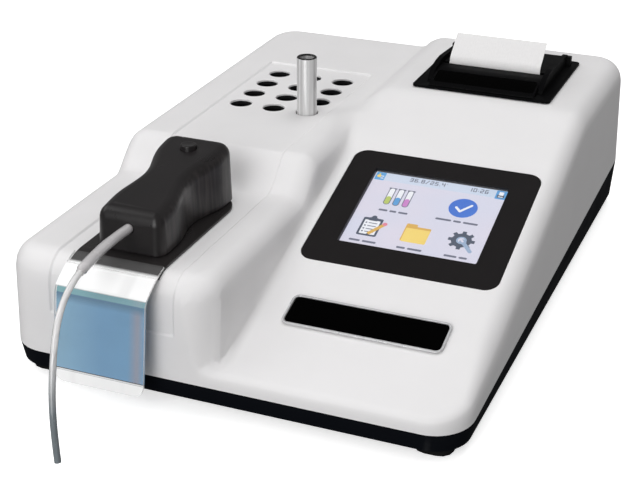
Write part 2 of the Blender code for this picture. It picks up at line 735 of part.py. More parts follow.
def housing_skin(bm, inset, lines_x, lines_y):
    """Outer or inner skin of the housing; returns the loop along its lower edge."""
    def height(x, y):
        return top_height(x, y, inset) - CHANNEL_DEPTH * channel_share(x, y, DECK_HEIGHT)

    places = [[grid_place(x, y) for y in lines_y] for x in lines_x]
    grid = [[bm.verts.new((x, y, height(x, y))) for x, y in row] for row in places]
    for left, right in zip(grid, grid[1:]):
        for j in range(len(lines_y) - 1):
            bm.faces.new((left[j], right[j], right[j + 1], left[j + 1]))
    columns = []
    for i, j, normal in housing_columns(lines_x, lines_y):
        corner = Vector(places[i][j])
        column = [bm.verts.new(point) for point in border_points(corner, normal, inset)]
        columns.append(column + [grid[i][j]])
    for index, column in enumerate(columns):
        other = columns[(index + 1) % len(columns)]
        if column[-1] is other[-1] and len(column) != len(other):
            bm.faces.new((column[-2], other[-2], column[-1]))
            laced(bm, column[:-1], other[:-1])
        else:
            laced(bm, column, other)
    return [column[0] for column in columns]


def housing_shell():
    """The housing as one shell that is open below."""
    lines_x, lines_y = housing_lines()
    bm = bmesh.new()
    outer = housing_skin(bm, 0, lines_x, lines_y)
    inner = housing_skin(bm, WALL, lines_x, lines_y)
    for index, vertex in enumerate(outer):
        after = (index + 1) % len(outer)
        bm.faces.new((vertex, outer[after], inner[after], inner[index]))
    return closed(bm)


def well_centres():
    """Plan places of the wells, front row first, from left to right."""
    for row in range(WELL_ROWS_COUNT):
        for column in range(WELL_COLUMNS):
            yield (MODULE_X + (column - (WELL_COLUMNS - 1) / 2) * WELL_PITCH_X,
                   WELL_FRONT_Y + row * WELL_PITCH_Y)


# Screws that hold the pan to the housing
SCREW_INSET_X = 0.016
SCREW_INSET_Y = 0.0355
SCREW_Y = BACK_Y - SCREW_INSET_Y
SCREW_RADIUS = 0.0014
SCREW_HEAD_RADIUS = 0.0030
SCREW_HEAD_HEIGHT = 0.0014
SCREW_LENGTH = 0.011
BOSS_RADIUS = 0.0040


def screw_places():
    """Name and plan place of each housing screw."""
    for word_y, side_y in (("front", -1), ("back", 1)):
        for word_x, side_x in (("left", -1), ("right", 1)):
            yield (f"{word_y}_{word_x}", side_x * (BODY_WIDTH / 2 - SCREW_INSET_X), side_y * SCREW_Y)


CARRIER_FLANGE = 0.028
DISPLAY_SEAT = DISPLAY_DEPTH + GAP


def make_housing(body):
    """White top housing with its openings and screw bosses."""
    deck_under = DECK_HEIGHT - WALL
    wells = [rod(WELL_RADIUS, (x, y, 0), deck_under - OVERRUN, DECK_HEIGHT + OVERRUN)
             for x, y in well_centres()]
    half = CARRIER_FLANGE / 2 + GAP
    socket = block((MODULE_X - half, OPTICS_Y - half, LOBE_HEIGHT - WALL - OVERRUN),
                   (MODULE_X + half, OPTICS_Y + half, LOBE_HEIGHT + OVERRUN))
    window = prism(rounded_outline(DISPLAY_WIDTH + 2 * GAP, DISPLAY_LENGTH + 2 * GAP, DISPLAY_CORNER),
                   -WALL - OVERRUN, OVERRUN, console_frame(DISPLAY_X, DISPLAY_Y))
    bay_y = (PRINTER_FRONT_Y + PRINTER_BACK_Y) / 2
    bay = prism(printer_tub_outline(GAP), PRINTER_DECK_HEIGHT - WALL - OVERRUN,
                PRINTER_DECK_HEIGHT + OVERRUN, Matrix.Translation((PRINTER_X, bay_y, 0)))
    panel_half = REAR_PANEL_WIDTH / 2 + GAP
    back = block((REAR_PANEL_X - panel_half, BODY_DEPTH / 2 - 2 * WALL - OVERRUN,
                  REAR_PANEL_Z - REAR_PANEL_HEIGHT / 2 - GAP),
                 (REAR_PANEL_X + panel_half, BODY_DEPTH / 2 + OVERRUN,
                  REAR_PANEL_Z + REAR_PANEL_HEIGHT / 2 + GAP))
    bosses, pilots = [], []
    for _, x, y in screw_places():
        top = top_height(x, y) - WALL * 4 / 5
        bosses.append(rod(BOSS_RADIUS, (x, y, 0), WALL + GAP, top, sides=SMALL_SIDES))
        pilots.append(rod(SCREW_RADIUS + GAP, (x, y, 0), 0, WALL + SCREW_LENGTH, sides=SMALL_SIDES))
    add_piece("top_housing", "housing_white", housing_shell(), body,
              cuts=[merged(*wells, socket, window, bay, back), merged(*pilots)], unions=[merged(*bosses)])


def pan_ring(inset, height):
    """One ring of the pan's outline; height None follows the parting line."""
    outline = rounded_outline(BODY_WIDTH - 2 * inset, BODY_DEPTH - 2 * inset, CORNER_RADIUS - inset)
    return [(x, y, parting_height(y) - GAP / 2 if height is None else height) for x, y in outline]


PAN_INSET = 0.0020


def make_pan(body):
    """Black base pan, open above, with counterbored screw holes."""
    tray = stacked([pan_ring(PAN_INSET, 0), pan_ring(0, None), pan_ring(WALL, None),
                    pan_ring(WALL + PAN_INSET, WALL)])
    holes, bores = [], []
    for _, x, y in screw_places():
        holes.append(rod(SCREW_RADIUS + GAP, (x, y, 0), -OVERRUN, WALL + OVERRUN, sides=SMALL_SIDES))
        bores.append(rod(SCREW_HEAD_RADIUS + GAP, (x, y, 0), -OVERRUN, SCREW_HEAD_HEIGHT + GAP))
    add_piece("base_pan", "pan_black", tray, body, cuts=[merged(*holes), merged(*bores)])
    for word, x, y in screw_places():
        screw = turned([(0, 0), (SCREW_HEAD_RADIUS, 0), (SCREW_HEAD_RADIUS, SCREW_HEAD_HEIGHT),
                        (SCREW_RADIUS, SCREW_HEAD_HEIGHT), (SCREW_RADIUS, SCREW_LENGTH), (0, SCREW_LENGTH)],
                       (x, y, 0), sides=SMALL_SIDES)
        add_piece(f"housing_screw_{word}", "steel", screw, body)


FOOT_SIZE = 0.022
FOOT_CORNER = 0.007
FOOT_INSET = 0.0075
FOOT_TAPER = 0.001


def make_feet(body):
    """Four rubber feet near the corners."""
    reach = FOOT_INSET + FOOT_SIZE / 2
    for word_y, side_y in (("front", -1), ("back", 1)):
        for word_x, side_x in (("left", -1), ("right", 1)):
            x, y = side_x * (BODY_WIDTH / 2 - reach), side_y * (BODY_DEPTH / 2 - reach)
            rings = []
            for inset, z in ((FOOT_TAPER, -FOOT_HEIGHT), (0, -GAP)):
                outline = rounded_outline(FOOT_SIZE - 2 * inset, FOOT_SIZE - 2 * inset, FOOT_CORNER, 3)
                rings.append([(x + u, y + v, z) for u, v in outline])
            add_piece(f"foot_{word_y}_{word_x}", "rubber_black", stacked(rings), body)


# Incubator and its tube
INCUBATOR_MARGIN = 0.009
INCUBATOR_FLOOR = 0.006
HEATER_THICKNESS = 0.002
BRACKET_THICKNESS = 0.002
WELL_FLOOR_Z = DECK_HEIGHT + TUBE_RISE - TUBE_LENGTH - GAP


def make_incubator(body):
    """Aluminium block with a well under each deck hole, its heater and its bracket."""
    half_x = WELL_PITCH_X * (WELL_COLUMNS - 1) / 2 + INCUBATOR_MARGIN
    low_y = WELL_FRONT_Y - INCUBATOR_MARGIN
    high_y = WELL_FRONT_Y + WELL_PITCH_Y * (WELL_ROWS_COUNT - 1) + INCUBATOR_MARGIN
    top = DECK_HEIGHT - WALL - CHANNEL_DEPTH - GAP
    bottom = WELL_FLOOR_Z - INCUBATOR_FLOOR
    wells = [rod(WELL_RADIUS, (x, y, 0), WELL_FLOOR_Z, top + OVERRUN) for x, y in well_centres()]
    add_piece("incubator_block", "aluminium",
              block((MODULE_X - half_x, low_y, bottom), (MODULE_X + half_x, high_y, top)), body,
              cuts=[merged(*wells)])
    pad_top = bottom - GAP
    pad_bottom = pad_top - HEATER_THICKNESS
    add_piece("incubator_heater", "heater_amber",
              block((MODULE_X - half_x, low_y, pad_bottom), (MODULE_X + half_x, high_y, pad_top)), body)
    bridge = block((MODULE_X - half_x, low_y, WALL + GAP), (MODULE_X + half_x, high_y, pad_bottom - GAP))
    inside = block((MODULE_X - half_x + BRACKET_THICKNESS, low_y - OVERRUN, 0),
                   (MODULE_X + half_x - BRACKET_THICKNESS, high_y + OVERRUN,
                    pad_bottom - GAP - BRACKET_THICKNESS))
    add_piece("incubator_bracket", "steel", bridge, body, cuts=[inside])


TUBE_BOTTOM_STEPS = 4


def make_test_tube(body, x, y):
    """Round-bottomed glass tube, open at the top."""
    bottom = WELL_FLOOR_Z + GAP
    profile = []
    for radius, sense in ((TUBE_RADIUS, 1), (TUBE_RADIUS - TUBE_WALL, -1)):
        arc = []
        for step in range(TUBE_BOTTOM_STEPS + 1):
            angle = math.radians(90) * step / TUBE_BOTTOM_STEPS
            arc.append((radius * math.sin(angle), bottom + TUBE_RADIUS - radius * math.cos(angle)))
        arc[0] = (0, arc[0][1])
        arc.append((radius, bottom + TUBE_LENGTH))
        profile += arc[::sense]
    add_piece("test_tube", "clear_glass", turned(profile, (x, y, 0)), body)


# Optics under the lobe
OPTICS_PLATE_THICKNESS = 0.003
OPTICS_MARGIN = 0.014
OPTICS_WIDTH = 0.100
OPTICS_LEFT_X = LEFT_X + OPTICS_MARGIN
OPTICS_RIGHT_X = OPTICS_LEFT_X + OPTICS_WIDTH
OPTICS_HALF_DEPTH = 0.022
SOCKET_SIZE = 0.026
PLUG_SIZE = 0.0124
PLUG_DEPTH = 0.034
BEAM_RADIUS = 0.0025
CELL_SIZE = 0.0074
CELL_HEIGHT = 0.014
CELL_THICKNESS = 0.010
FLANGE_THICKNESS = 0.002
LAMP_BLOCK_LENGTH = 0.032
LAMP_BLOCK_HALF = 0.011
LAMP_BORE = 0.007
LAMP_BULB_LENGTH = 0.014
LENS_THICKNESS = 0.004
LENS_SETBACK = 0.002
WHEEL_OFFSET = 0.021
WHEEL_X = MODULE_X + WHEEL_OFFSET
WHEEL_RADIUS = 0.020
WHEEL_THICKNESS = 0.004
WHEEL_PITCH_RADIUS = 0.014
WHEEL_FILTERS = 8
FILTER_RADIUS = 0.0035
MOTOR_SHAFT_RADIUS = 0.0015
MOTOR_RADIUS = 0.010
MOTOR_LENGTH = 0.018
MOTOR_STEP = 0.002
DETECTOR_LENGTH = 0.010
DETECTOR_HEIGHT = 0.012


def make_optics(body, wheel_body):
    """Lamp, lens, cuvette socket, filter wheel, its motor and the detector on one plate."""
    floor = WALL + GAP
    plate_top = floor + OPTICS_PLATE_THICKNESS
    seat = plate_top + GAP
    add_piece("optics_plate", "aluminium",
              block((OPTICS_LEFT_X, OPTICS_Y - OPTICS_HALF_DEPTH, floor),
                    (OPTICS_RIGHT_X, OPTICS_Y + OPTICS_HALF_DEPTH, plate_top)), body)
    half = SOCKET_SIZE / 2
    socket_top = LOBE_HEIGHT - WALL - CHANNEL_DEPTH - GAP
    hole = PLUG_SIZE / 2 + GAP
    well = block((MODULE_X - hole, OPTICS_Y - hole, socket_top - PLUG_DEPTH - GAP),
                 (MODULE_X + hole, OPTICS_Y + hole, socket_top + OVERRUN))
    beam = rod(BEAM_RADIUS, (MODULE_X, OPTICS_Y, OPTIC_Z), -SOCKET_SIZE, SOCKET_SIZE, "X", SMALL_SIDES)
    add_piece("cuvette_socket", "part_grey",
              block((MODULE_X - half, OPTICS_Y - half, seat), (MODULE_X + half, OPTICS_Y + half, socket_top)),
              body, cuts=[well, beam])
    lamp_end = OPTICS_LEFT_X + LAMP_BLOCK_LENGTH
    lamp_block = block((OPTICS_LEFT_X, OPTICS_Y - LAMP_BLOCK_HALF, seat),
                       (lamp_end, OPTICS_Y + LAMP_BLOCK_HALF, OPTIC_Z + LAMP_BLOCK_HALF))
    axis = (0, OPTICS_Y, OPTIC_Z)
    bore = rod(LAMP_BORE, axis, OPTICS_LEFT_X + WALL, lamp_end + OVERRUN, "X")
    add_piece("lamp_holder", "aluminium", lamp_block, body, cuts=[bore])
    start = OPTICS_LEFT_X + WALL + GAP
    fit = LAMP_BORE - GAP
    add_piece("lamp_bulb", "clear_glass",
              turned([(0, start), (fit, start), (fit, start + LAMP_BULB_LENGTH / 2),
                      (fit / 2, start + LAMP_BULB_LENGTH * 3 / 4), (0, start + LAMP_BULB_LENGTH)], axis, "X"),
              body)
    lens_end = lamp_end - LENS_SETBACK
    add_piece("condenser_lens", "clear_glass",
              turned([(0, lens_end - LENS_THICKNESS), (fit, lens_end - LENS_THICKNESS),
                      (fit, lens_end - LENS_THICKNESS / 2), (fit / 2, lens_end - LENS_THICKNESS / 8),
                      (0, lens_end)], axis, "X"), body)
    wheel_z = OPTIC_Z - WHEEL_PITCH_RADIUS
    wheel_axis = (0, OPTICS_Y, wheel_z)
    holes = []
    for index in range(WHEEL_FILTERS):
        angle = 2 * math.pi * index / WHEEL_FILTERS
        spot = (0, OPTICS_Y + WHEEL_PITCH_RADIUS * math.sin(angle),
                wheel_z + WHEEL_PITCH_RADIUS * math.cos(angle))
        holes.append(rod(FILTER_RADIUS, spot, WHEEL_X - WHEEL_THICKNESS, WHEEL_X + WHEEL_THICKNESS * 2, "X",
                         SMALL_SIDES))
    add_piece("filter_wheel", "part_grey",
              ring(WHEEL_RADIUS, MOTOR_SHAFT_RADIUS + GAP, wheel_axis, WHEEL_X, WHEEL_X + WHEEL_THICKNESS, "X"),
              wheel_body, cuts=[merged(*holes)])
    front = WHEEL_X + WHEEL_THICKNESS + MOTOR_STEP
    motor = turned([(0, WHEEL_X), (MOTOR_SHAFT_RADIUS, WHEEL_X), (MOTOR_SHAFT_RADIUS, front),
                    (MOTOR_RADIUS, front), (MOTOR_RADIUS, front + MOTOR_LENGTH), (0, front + MOTOR_LENGTH)],
                   wheel_axis, "X")
    stand = block((front + MOTOR_STEP, OPTICS_Y - MOTOR_RADIUS / 2, seat),
                  (front + MOTOR_LENGTH - MOTOR_STEP, OPTICS_Y + MOTOR_RADIUS / 2, wheel_z))
    add_piece("filter_motor", "steel", motor, body, unions=[stand])
    detector_low = wheel_z + MOTOR_RADIUS + GAP
    detector = block((front, OPTICS_Y - MOTOR_RADIUS / 2, detector_low),
                     (front + DETECTOR_LENGTH, OPTICS_Y + MOTOR_RADIUS / 2, detector_low + DETECTOR_HEIGHT))
    eye = rod(BEAM_RADIUS, (0, OPTICS_Y, OPTIC_Z), front - OVERRUN, front + DETECTOR_LENGTH / 2, "X",
              SMALL_SIDES)
    add_piece("detector_block", "part_grey", detector, body, cuts=[eye])


# Sipper module
SWITCH_SIZE = 0.006
SLEEVE_RADIUS = 0.0027
SIPPER_RADIUS = 0.0017
SIPPER_EXIT_Z = 0.0794
SLEEVE_SHARE_END = 6

# Route of the sipper tube from the module's front down to the bench, in the body frame
SIPPER_ROUTE = (
    (-0.0600, -0.1500, 0.0788), (-0.0600, -0.1602, 0.0794), (-0.0602, -0.1700, 0.0797),
    (-0.0604, -0.1810, 0.0796), (-0.0601, -0.1940, 0.0791), (-0.0595, -0.2072, 0.0779),
    (-0.0586, -0.2190, 0.0752), (-0.0575, -0.2290, 0.0705), (-0.0563, -0.2370, 0.0637),
    (-0.0550, -0.2430, 0.0553), (-0.0537, -0.2478, 0.0455), (-0.0525, -0.2518, 0.0350),
    (-0.0513, -0.2545, 0.0240), (-0.0502, -0.2560, 0.0125), (-0.0492, -0.2568, 0.0015),
)


def smooth_route(route, steps):
    """Points on a smooth curve through a route."""
    knots = [Vector(point) for point in route]
    knots = [2 * knots[0] - knots[1]] + knots + [2 * knots[-1] - knots[-2]]
    points = []
    for first, start, end, last in zip(knots, knots[1:], knots[2:], knots[3:]):
        for step in range(steps):
            t = step / steps
            points.append(start + ((end - first) * t + (2 * first - 5 * start + 4 * end - last) * t ** 2
                                   + (3 * start - first - 3 * end + last) * t ** 3) / 2)
    return points + [knots[-2]]


def make_module(body, button_body):
    """Plate, waisted cover, flow cell on its carrier, button and its switch."""
    plate_path, _ = shield_path()
    floor = plate_path[0][1]
    rows = []
    for step in range(SHEET_ROWS):
        angle = math.radians(90) * step / SHEET_ROWS
        half = PLATE_HALF_WIDTH - PLATE_CORNER * (1 - math.sin(angle))
        y = PLATE_BACK_Y - PLATE_CORNER * (1 - math.cos(angle))
        rows.append([(MODULE_X - half, y, floor, 0), (MODULE_X + half, y, floor, 0)])
    rows.append([(MODULE_X + side * PLATE_HALF_WIDTH, PLATE_BACK_Y - PLATE_CORNER, floor, 0)
                 for side in (-1, 1)])
    for y, z, tilt in plate_path:
        rows.append([(MODULE_X + side * PLATE_HALF_WIDTH, y, z, tilt) for side in (-1, 1)])
    add_piece("module_plate", "plate_dark", sheet(rows, PLATE_THICKNESS), body)

    base = floor + PLATE_THICKNESS + GAP
    outer = [[(x, y, base) for x, y in module_outline(0)]]
    for step in range(FILLET_STEPS + 1):
        angle = math.radians(90) * step / FILLET_STEPS
        inset = MODULE_DRAFT + MODULE_FILLET * (1 - math.cos(angle))
        outer.append([(x, y, module_top(y) - MODULE_FILLET * (1 - math.sin(angle)))
                      for x, y in module_outline(inset)])
    wall = MODULE_WALL + MODULE_DRAFT
    inner = [[(x, y, base) for x, y in module_outline(MODULE_WALL)]]
    inner.append([(x, y, module_top(y) - MODULE_FILLET) for x, y in module_outline(wall)])
    inner.append([(x, y, module_top(y) - MODULE_WALL) for x, y in module_outline(wall + MODULE_FILLET / 2)])
    shell = stacked(outer[::-1] + inner)
    hole = rod(BUTTON_RADIUS + GAP, (COVER_X, BUTTON_Y, 0), module_top(BUTTON_Y) - MODULE_FILLET,
               MODULE_BACK_TOP + OVERRUN)
    exit_hole = rod(SLEEVE_RADIUS + GAP, (COVER_X, 0, SIPPER_EXIT_Z), MODULE_FRONT_Y - OVERRUN,
                    MODULE_FRONT_Y + MODULE_FILLET, "Y", SMALL_SIDES)
    add_piece("module_cover", "module_black", shell, body, cuts=[hole, exit_hole])

    top = base - PLATE_THICKNESS - 2 * GAP
    half = CARRIER_FLANGE / 2
    socket_top = LOBE_HEIGHT - WALL - CHANNEL_DEPTH - GAP
    plug_half = PLUG_SIZE / 2
    flange = block((MODULE_X - half, OPTICS_Y - half, top - FLANGE_THICKNESS),
                   (MODULE_X + half, OPTICS_Y + half, top))
    plug = block((MODULE_X - plug_half, OPTICS_Y - plug_half, socket_top - PLUG_DEPTH),
                 (MODULE_X + plug_half, OPTICS_Y + plug_half, top - FLANGE_THICKNESS / 2))
    cell_half = CELL_SIZE / 2 + GAP
    tall = CELL_HEIGHT / 2 + GAP
    window = block((MODULE_X - PLUG_SIZE, OPTICS_Y - cell_half, OPTIC_Z - tall),
                   (MODULE_X + PLUG_SIZE, OPTICS_Y + cell_half, OPTIC_Z + tall))
    add_piece("flow_cell_carrier", "module_black", flange, body, unions=[plug], cuts=[window])
    add_piece("flow_cell", "clear_glass",
              block((MODULE_X - CELL_THICKNESS / 2, OPTICS_Y - CELL_SIZE / 2, OPTIC_Z - CELL_HEIGHT / 2),
                    (MODULE_X + CELL_THICKNESS / 2, OPTICS_Y + CELL_SIZE / 2, OPTIC_Z + CELL_HEIGHT / 2)), body)

    button_bottom = module_top(BUTTON_Y) - MODULE_FILLET
    button_top = module_top(BUTTON_Y) + BUTTON_PROUD
    edge = BUTTON_PROUD / 4
    collar = BUTTON_RADIUS + MODULE_WALL
    stem = turned([(0, button_bottom), (collar, button_bottom), (collar, button_bottom + MODULE_WALL),
                   (BUTTON_RADIUS, button_bottom + MODULE_WALL), (BUTTON_RADIUS, button_top - edge),
                   (BUTTON_RADIUS - edge, button_top), (0, button_top)], (COVER_X, BUTTON_Y, 0))
    add_piece("aspirate_button", "module_black", stem, button_body)
    switch_top = button_bottom - BUTTON_TRAVEL - GAP
    add_piece("button_switch", "part_grey",
              block((COVER_X - SWITCH_SIZE / 2, BUTTON_Y - SWITCH_SIZE / 2, base),
                    (COVER_X + SWITCH_SIZE / 2, BUTTON_Y + SWITCH_SIZE / 2, switch_top)), body)


def make_shield(body):
    """Clear shield over the lobe's front, and the blue panel behind it."""
    _, path = shield_path()
    rows = [[(MODULE_X + side * PLATE_HALF_WIDTH, y, z, tilt) for side in (-1, 1)] for y, z, tilt in path[:-1]]
    y, z, tilt = path[-1]
    for step in range(SHEET_ROWS + 1):
        angle = math.radians(90) * step / SHEET_ROWS
        back = SHIELD_CORNER * (1 - math.sin(angle))
        half = PLATE_HALF_WIDTH - SHIELD_CORNER * (1 - math.cos(angle))
        rows.append([(MODULE_X + side * half, y + back * math.cos(tilt), z + back * math.sin(tilt), tilt)
                     for side in (-1, 1)])
    add_piece("splash_shield", "clear_plastic", sheet(rows, SHIELD_THICKNESS), body)
    behind = TINT_THICKNESS + GAP
    tinted = path[-SHEET_ROWS - 2:-1]
    tinted.append((y + TINT_BOTTOM_CLEAR * math.cos(tilt), z + TINT_BOTTOM_CLEAR * math.sin(tilt), tilt))
    panel = [[(MODULE_X + side * (PLATE_HALF_WIDTH - GAP), y + behind * math.sin(tilt),
               z - behind * math.cos(tilt), tilt) for side in (-1, 1)] for y, z, tilt in tinted]
    add_piece("shield_tint", "tint_blue", sheet(panel, TINT_THICKNESS), body)


def make_sipper(body):
    """Free sipper tube with the thicker sleeve on its first stretch."""
    points = smooth_route(SIPPER_ROUTE[1:], 2)
    split = 2 * (SLEEVE_SHARE_END - 2) + 1
    add_cord("sipper_sleeve", "tube_grey", points[:split], SLEEVE_RADIUS, body)
    start = points[split - 1]
    ahead = (points[split] - start).normalized() * GAP
    add_cord("sipper_tube", "tube_grey", [start + ahead] + points[split:], SIPPER_RADIUS, body)


# Pump under the deck
PUMP_SHIFT = -0.009
PUMP_OFFSET = 0.0025
PUMP_X = MODULE_X + PUMP_SHIFT
PUMP_Y = STEP_BACK_Y + PUMP_OFFSET
PUMP_MOTOR_RADIUS = 0.014
PUMP_MOTOR_HEIGHT = 0.028
PUMP_HEAD_RADIUS = 0.018
PUMP_HEAD_HEIGHT = 0.018
PUMP_SHAFT_RADIUS = 0.0025
ROTOR_RADIUS = 0.0085
ROTOR_LOBES = 3
PUMP_TUBE_RADIUS = 0.0015


def make_pump(body, rotor_body):
    """Peristaltic pump: motor, open head, lobed rotor and the tube round it."""
    centre = (PUMP_X, PUMP_Y, 0)
    floor = WALL + GAP
    motor_top = floor + PUMP_MOTOR_HEIGHT
    head_low = motor_top + GAP
    head_floor = head_low + WALL
    head_top = head_low + PUMP_HEAD_HEIGHT
    motor = turned([(0, floor), (PUMP_MOTOR_RADIUS, floor), (PUMP_MOTOR_RADIUS, motor_top),
                    (PUMP_SHAFT_RADIUS, motor_top), (PUMP_SHAFT_RADIUS, head_top - WALL),
                    (0, head_top - WALL)], centre)
    add_piece("pump_motor", "steel", motor, body)
    cavity = PUMP_HEAD_RADIUS - WALL
    cup = turned([(PUMP_SHAFT_RADIUS + GAP, head_low), (PUMP_HEAD_RADIUS, head_low),
                  (PUMP_HEAD_RADIUS, head_top), (cavity, head_top), (cavity, head_floor),
                  (PUMP_SHAFT_RADIUS + GAP, head_floor)], centre)
    slot = block((PUMP_X - cavity, PUMP_Y - 2 * PUMP_HEAD_RADIUS, head_floor),
                 (PUMP_X + cavity, PUMP_Y, head_top + OVERRUN))
    add_piece("pump_head", "part_grey", cup, body, cuts=[slot])
    rotor_low = head_floor + GAP
    rotor_top = head_top - WALL
    shape = ring(ROTOR_RADIUS, PUMP_SHAFT_RADIUS + GAP, centre, rotor_low, rotor_top)
    rollers = []
    roller = ROTOR_RADIUS / 3
    for index in range(ROTOR_LOBES):
        angle = math.pi / 2 + 2 * math.pi * index / ROTOR_LOBES
        spot = (PUMP_X + (ROTOR_RADIUS - roller / 2) * math.cos(angle),
                PUMP_Y + (ROTOR_RADIUS - roller / 2) * math.sin(angle), 0)
        rollers.append(rod(roller, spot, rotor_low, rotor_top, sides=SMALL_SIDES))
    add_piece("pump_rotor", "bright_metal", shape, rotor_body, unions=[merged(*rollers)])
    bend = cavity - GAP - PUMP_TUBE_RADIUS
    mid = (rotor_low + rotor_top) / 2
    points = [Vector((PUMP_X + bend, PUMP_Y - PUMP_HEAD_RADIUS, mid))]
    turns = 2 * ROUND_SIDES // 3
    for step in range(turns + 1):
        angle = math.pi * step / turns
        points.append(Vector((PUMP_X + bend * math.cos(angle), PUMP_Y + bend * math.sin(angle), mid)))
    points.append(Vector((PUMP_X - bend, PUMP_Y - PUMP_HEAD_RADIUS, mid)))
    add_cord("pump_tube", "tube_grey", points, PUMP_TUBE_RADIUS, body, 1)


# Display, boards and nameplate
GLASS_THICKNESS = 0.001
GLASS_SETBACK = 0.0008
LCD_THICKNESS = 0.003
LCD_MARGIN = 0.006
BOARD_THICKNESS = 0.0016
BOARD_SPACING = 0.004
MAIN_BOARD_SIDE_GAP = 0.008
MAIN_BOARD_MARGIN = 0.014
MAIN_BOARD_FRONT_OFFSET = 0.070
MAIN_BOARD_BACK_GAP = 0.020
MAIN_BOARD_LOW = (DIVIDE_X + MAIN_BOARD_SIDE_GAP, FRONT_Y + MAIN_BOARD_FRONT_OFFSET)
MAIN_BOARD_HIGH = (RIGHT_X - MAIN_BOARD_MARGIN, SUPPLY_FRONT_Y - MAIN_BOARD_BACK_GAP)
MAIN_BOARD_STAND = 0.005
STAND_RADIUS = 0.003


def make_display(body):
    """Bezel, touch glass, screen and the board behind it, all on the slope."""
    frame = console_frame(DISPLAY_X, DISPLAY_Y)
    slide = Matrix.Translation((GAP, SCREEN_SHIFT, 0))
    opening = prism(rounded_outline(SCREEN_WIDTH, SCREEN_LENGTH, BOARD_SPACING / 4, 1),
                    -DISPLAY_DEPTH - OVERRUN, OVERRUN, frame @ slide)
    add_piece("display_bezel", "bezel_black",
              prism(rounded_outline(DISPLAY_WIDTH, DISPLAY_LENGTH, DISPLAY_CORNER),
                    -DISPLAY_DEPTH + GAP, GAP, frame), body, cuts=[opening])
    glass = rounded_outline(SCREEN_WIDTH - 2 * GAP, SCREEN_LENGTH - 2 * GAP, BOARD_SPACING / 4, 1)
    add_piece("touch_glass", "clear_glass",
              prism(glass, -GLASS_SETBACK - GLASS_THICKNESS, -GLASS_SETBACK, frame @ slide), body)
    lcd = rounded_outline(SCREEN_WIDTH + LCD_MARGIN, SCREEN_LENGTH + LCD_MARGIN, BOARD_SPACING / 4, 1)
    top = -DISPLAY_DEPTH
    add_piece("lcd_panel", "screen_glow", prism(lcd, top - LCD_THICKNESS, top, frame @ slide), body)
    board_top = top - LCD_THICKNESS - GAP
    low = board_top - BOARD_THICKNESS
    post_x = (SCREEN_WIDTH + LCD_MARGIN) / 2 + 2 * STAND_RADIUS
    posts = [prism([(side * post_x + STAND_RADIUS * u, v * DISPLAY_LENGTH / 4)
                    for u, v in ((-1, -1), (1, -1), (1, 1), (-1, 1))],
                   low + BOARD_THICKNESS / 2, top, frame) for side in (-1, 1)]
    board = rounded_outline(2 * (post_x + STAND_RADIUS), SCREEN_LENGTH, BOARD_SPACING / 4, 1)
    add_piece("display_board", "board_green", prism(board, low, board_top, frame), body,
              unions=[merged(*posts)])


def make_nameplate(body):
    """Bright frame and its bare black field."""
    frame = console_frame(NAMEPLATE_X, NAMEPLATE_Y, GAP)
    inner = rounded_outline(NAMEPLATE_WIDTH - 2 * NAMEPLATE_RIM, NAMEPLATE_LENGTH - 2 * NAMEPLATE_RIM,
                            NAMEPLATE_CORNER - NAMEPLATE_RIM)
    add_piece("nameplate_frame", "bright_metal",
              prism(rounded_outline(NAMEPLATE_WIDTH, NAMEPLATE_LENGTH, NAMEPLATE_CORNER), 0,
                    NAMEPLATE_THICKNESS, frame), body,
              cuts=[prism(inner, -OVERRUN, OVERRUN, frame)])
    fit = 2 * (NAMEPLATE_RIM + GAP)
    add_piece("nameplate_field", "bezel_black",
              prism(rounded_outline(NAMEPLATE_WIDTH - fit, NAMEPLATE_LENGTH - fit,
                                    NAMEPLATE_CORNER - NAMEPLATE_RIM - GAP), 0,
                    NAMEPLATE_THICKNESS * 2 / 3, frame), body)


def make_main_board(body):
    """Main board on four stand-offs."""
    floor = WALL + GAP
    low_z = floor + MAIN_BOARD_STAND
    top_z = low_z + BOARD_THICKNESS
    stands = []
    for x in (MAIN_BOARD_LOW[0] + 2 * STAND_RADIUS, MAIN_BOARD_HIGH[0] - 2 * STAND_RADIUS):
        for y in (MAIN_BOARD_LOW[1] + 2 * STAND_RADIUS, MAIN_BOARD_HIGH[1] - 2 * STAND_RADIUS):
            stands.append(rod(STAND_RADIUS, (x, y, 0), floor, low_z + BOARD_THICKNESS / 2, sides=SMALL_SIDES))
    add_piece("main_board", "board_green",
              block((*MAIN_BOARD_LOW, low_z), (*MAIN_BOARD_HIGH, top_z)), body, unions=[merged(*stands)])


# Printer
TUB_SIDE_MARGIN = 0.00685
TUB_END_MARGIN = 0.0035
TUB_DEPTH = 0.048
CHEEK_RISE = 0.0093
CHEEK_FALL = 0.0030
HINGE_BOSS_WIDTH = 0.0029
HINGE_BOSS_LENGTH = 0.0040
WEDGE_RISE = 0.0058
WEDGE_LENGTH = 0.0245
WEDGE_BACK_Y = PRINTER_FRONT_Y + WEDGE_LENGTH
SLOT_HALF = 0.0020
DOOR_THICKNESS = 0.0025
LABEL_DEPTH = 0.0006
LABEL_MARGIN_X = 0.0012
LABEL_FRONT_SHARE = 0.15
LABEL_BACK_SHARE = 0.57
HINGE_RADIUS = 0.0015
KNUCKLE_RADIUS = 0.0030
EAR_THICKNESS = 0.0025
AXLE_RADIUS = 0.002
HEAD_CLEARANCE = 0.0012
HEAD_DEPTH = 0.004
HEAD_HEIGHT = 0.009
PRINTER_STEPS = 6
PAPER_LEAN = math.radians(40)
PAPER_SHOWN = 0.0165
PAPER_BEND_RADIUS = 0.006


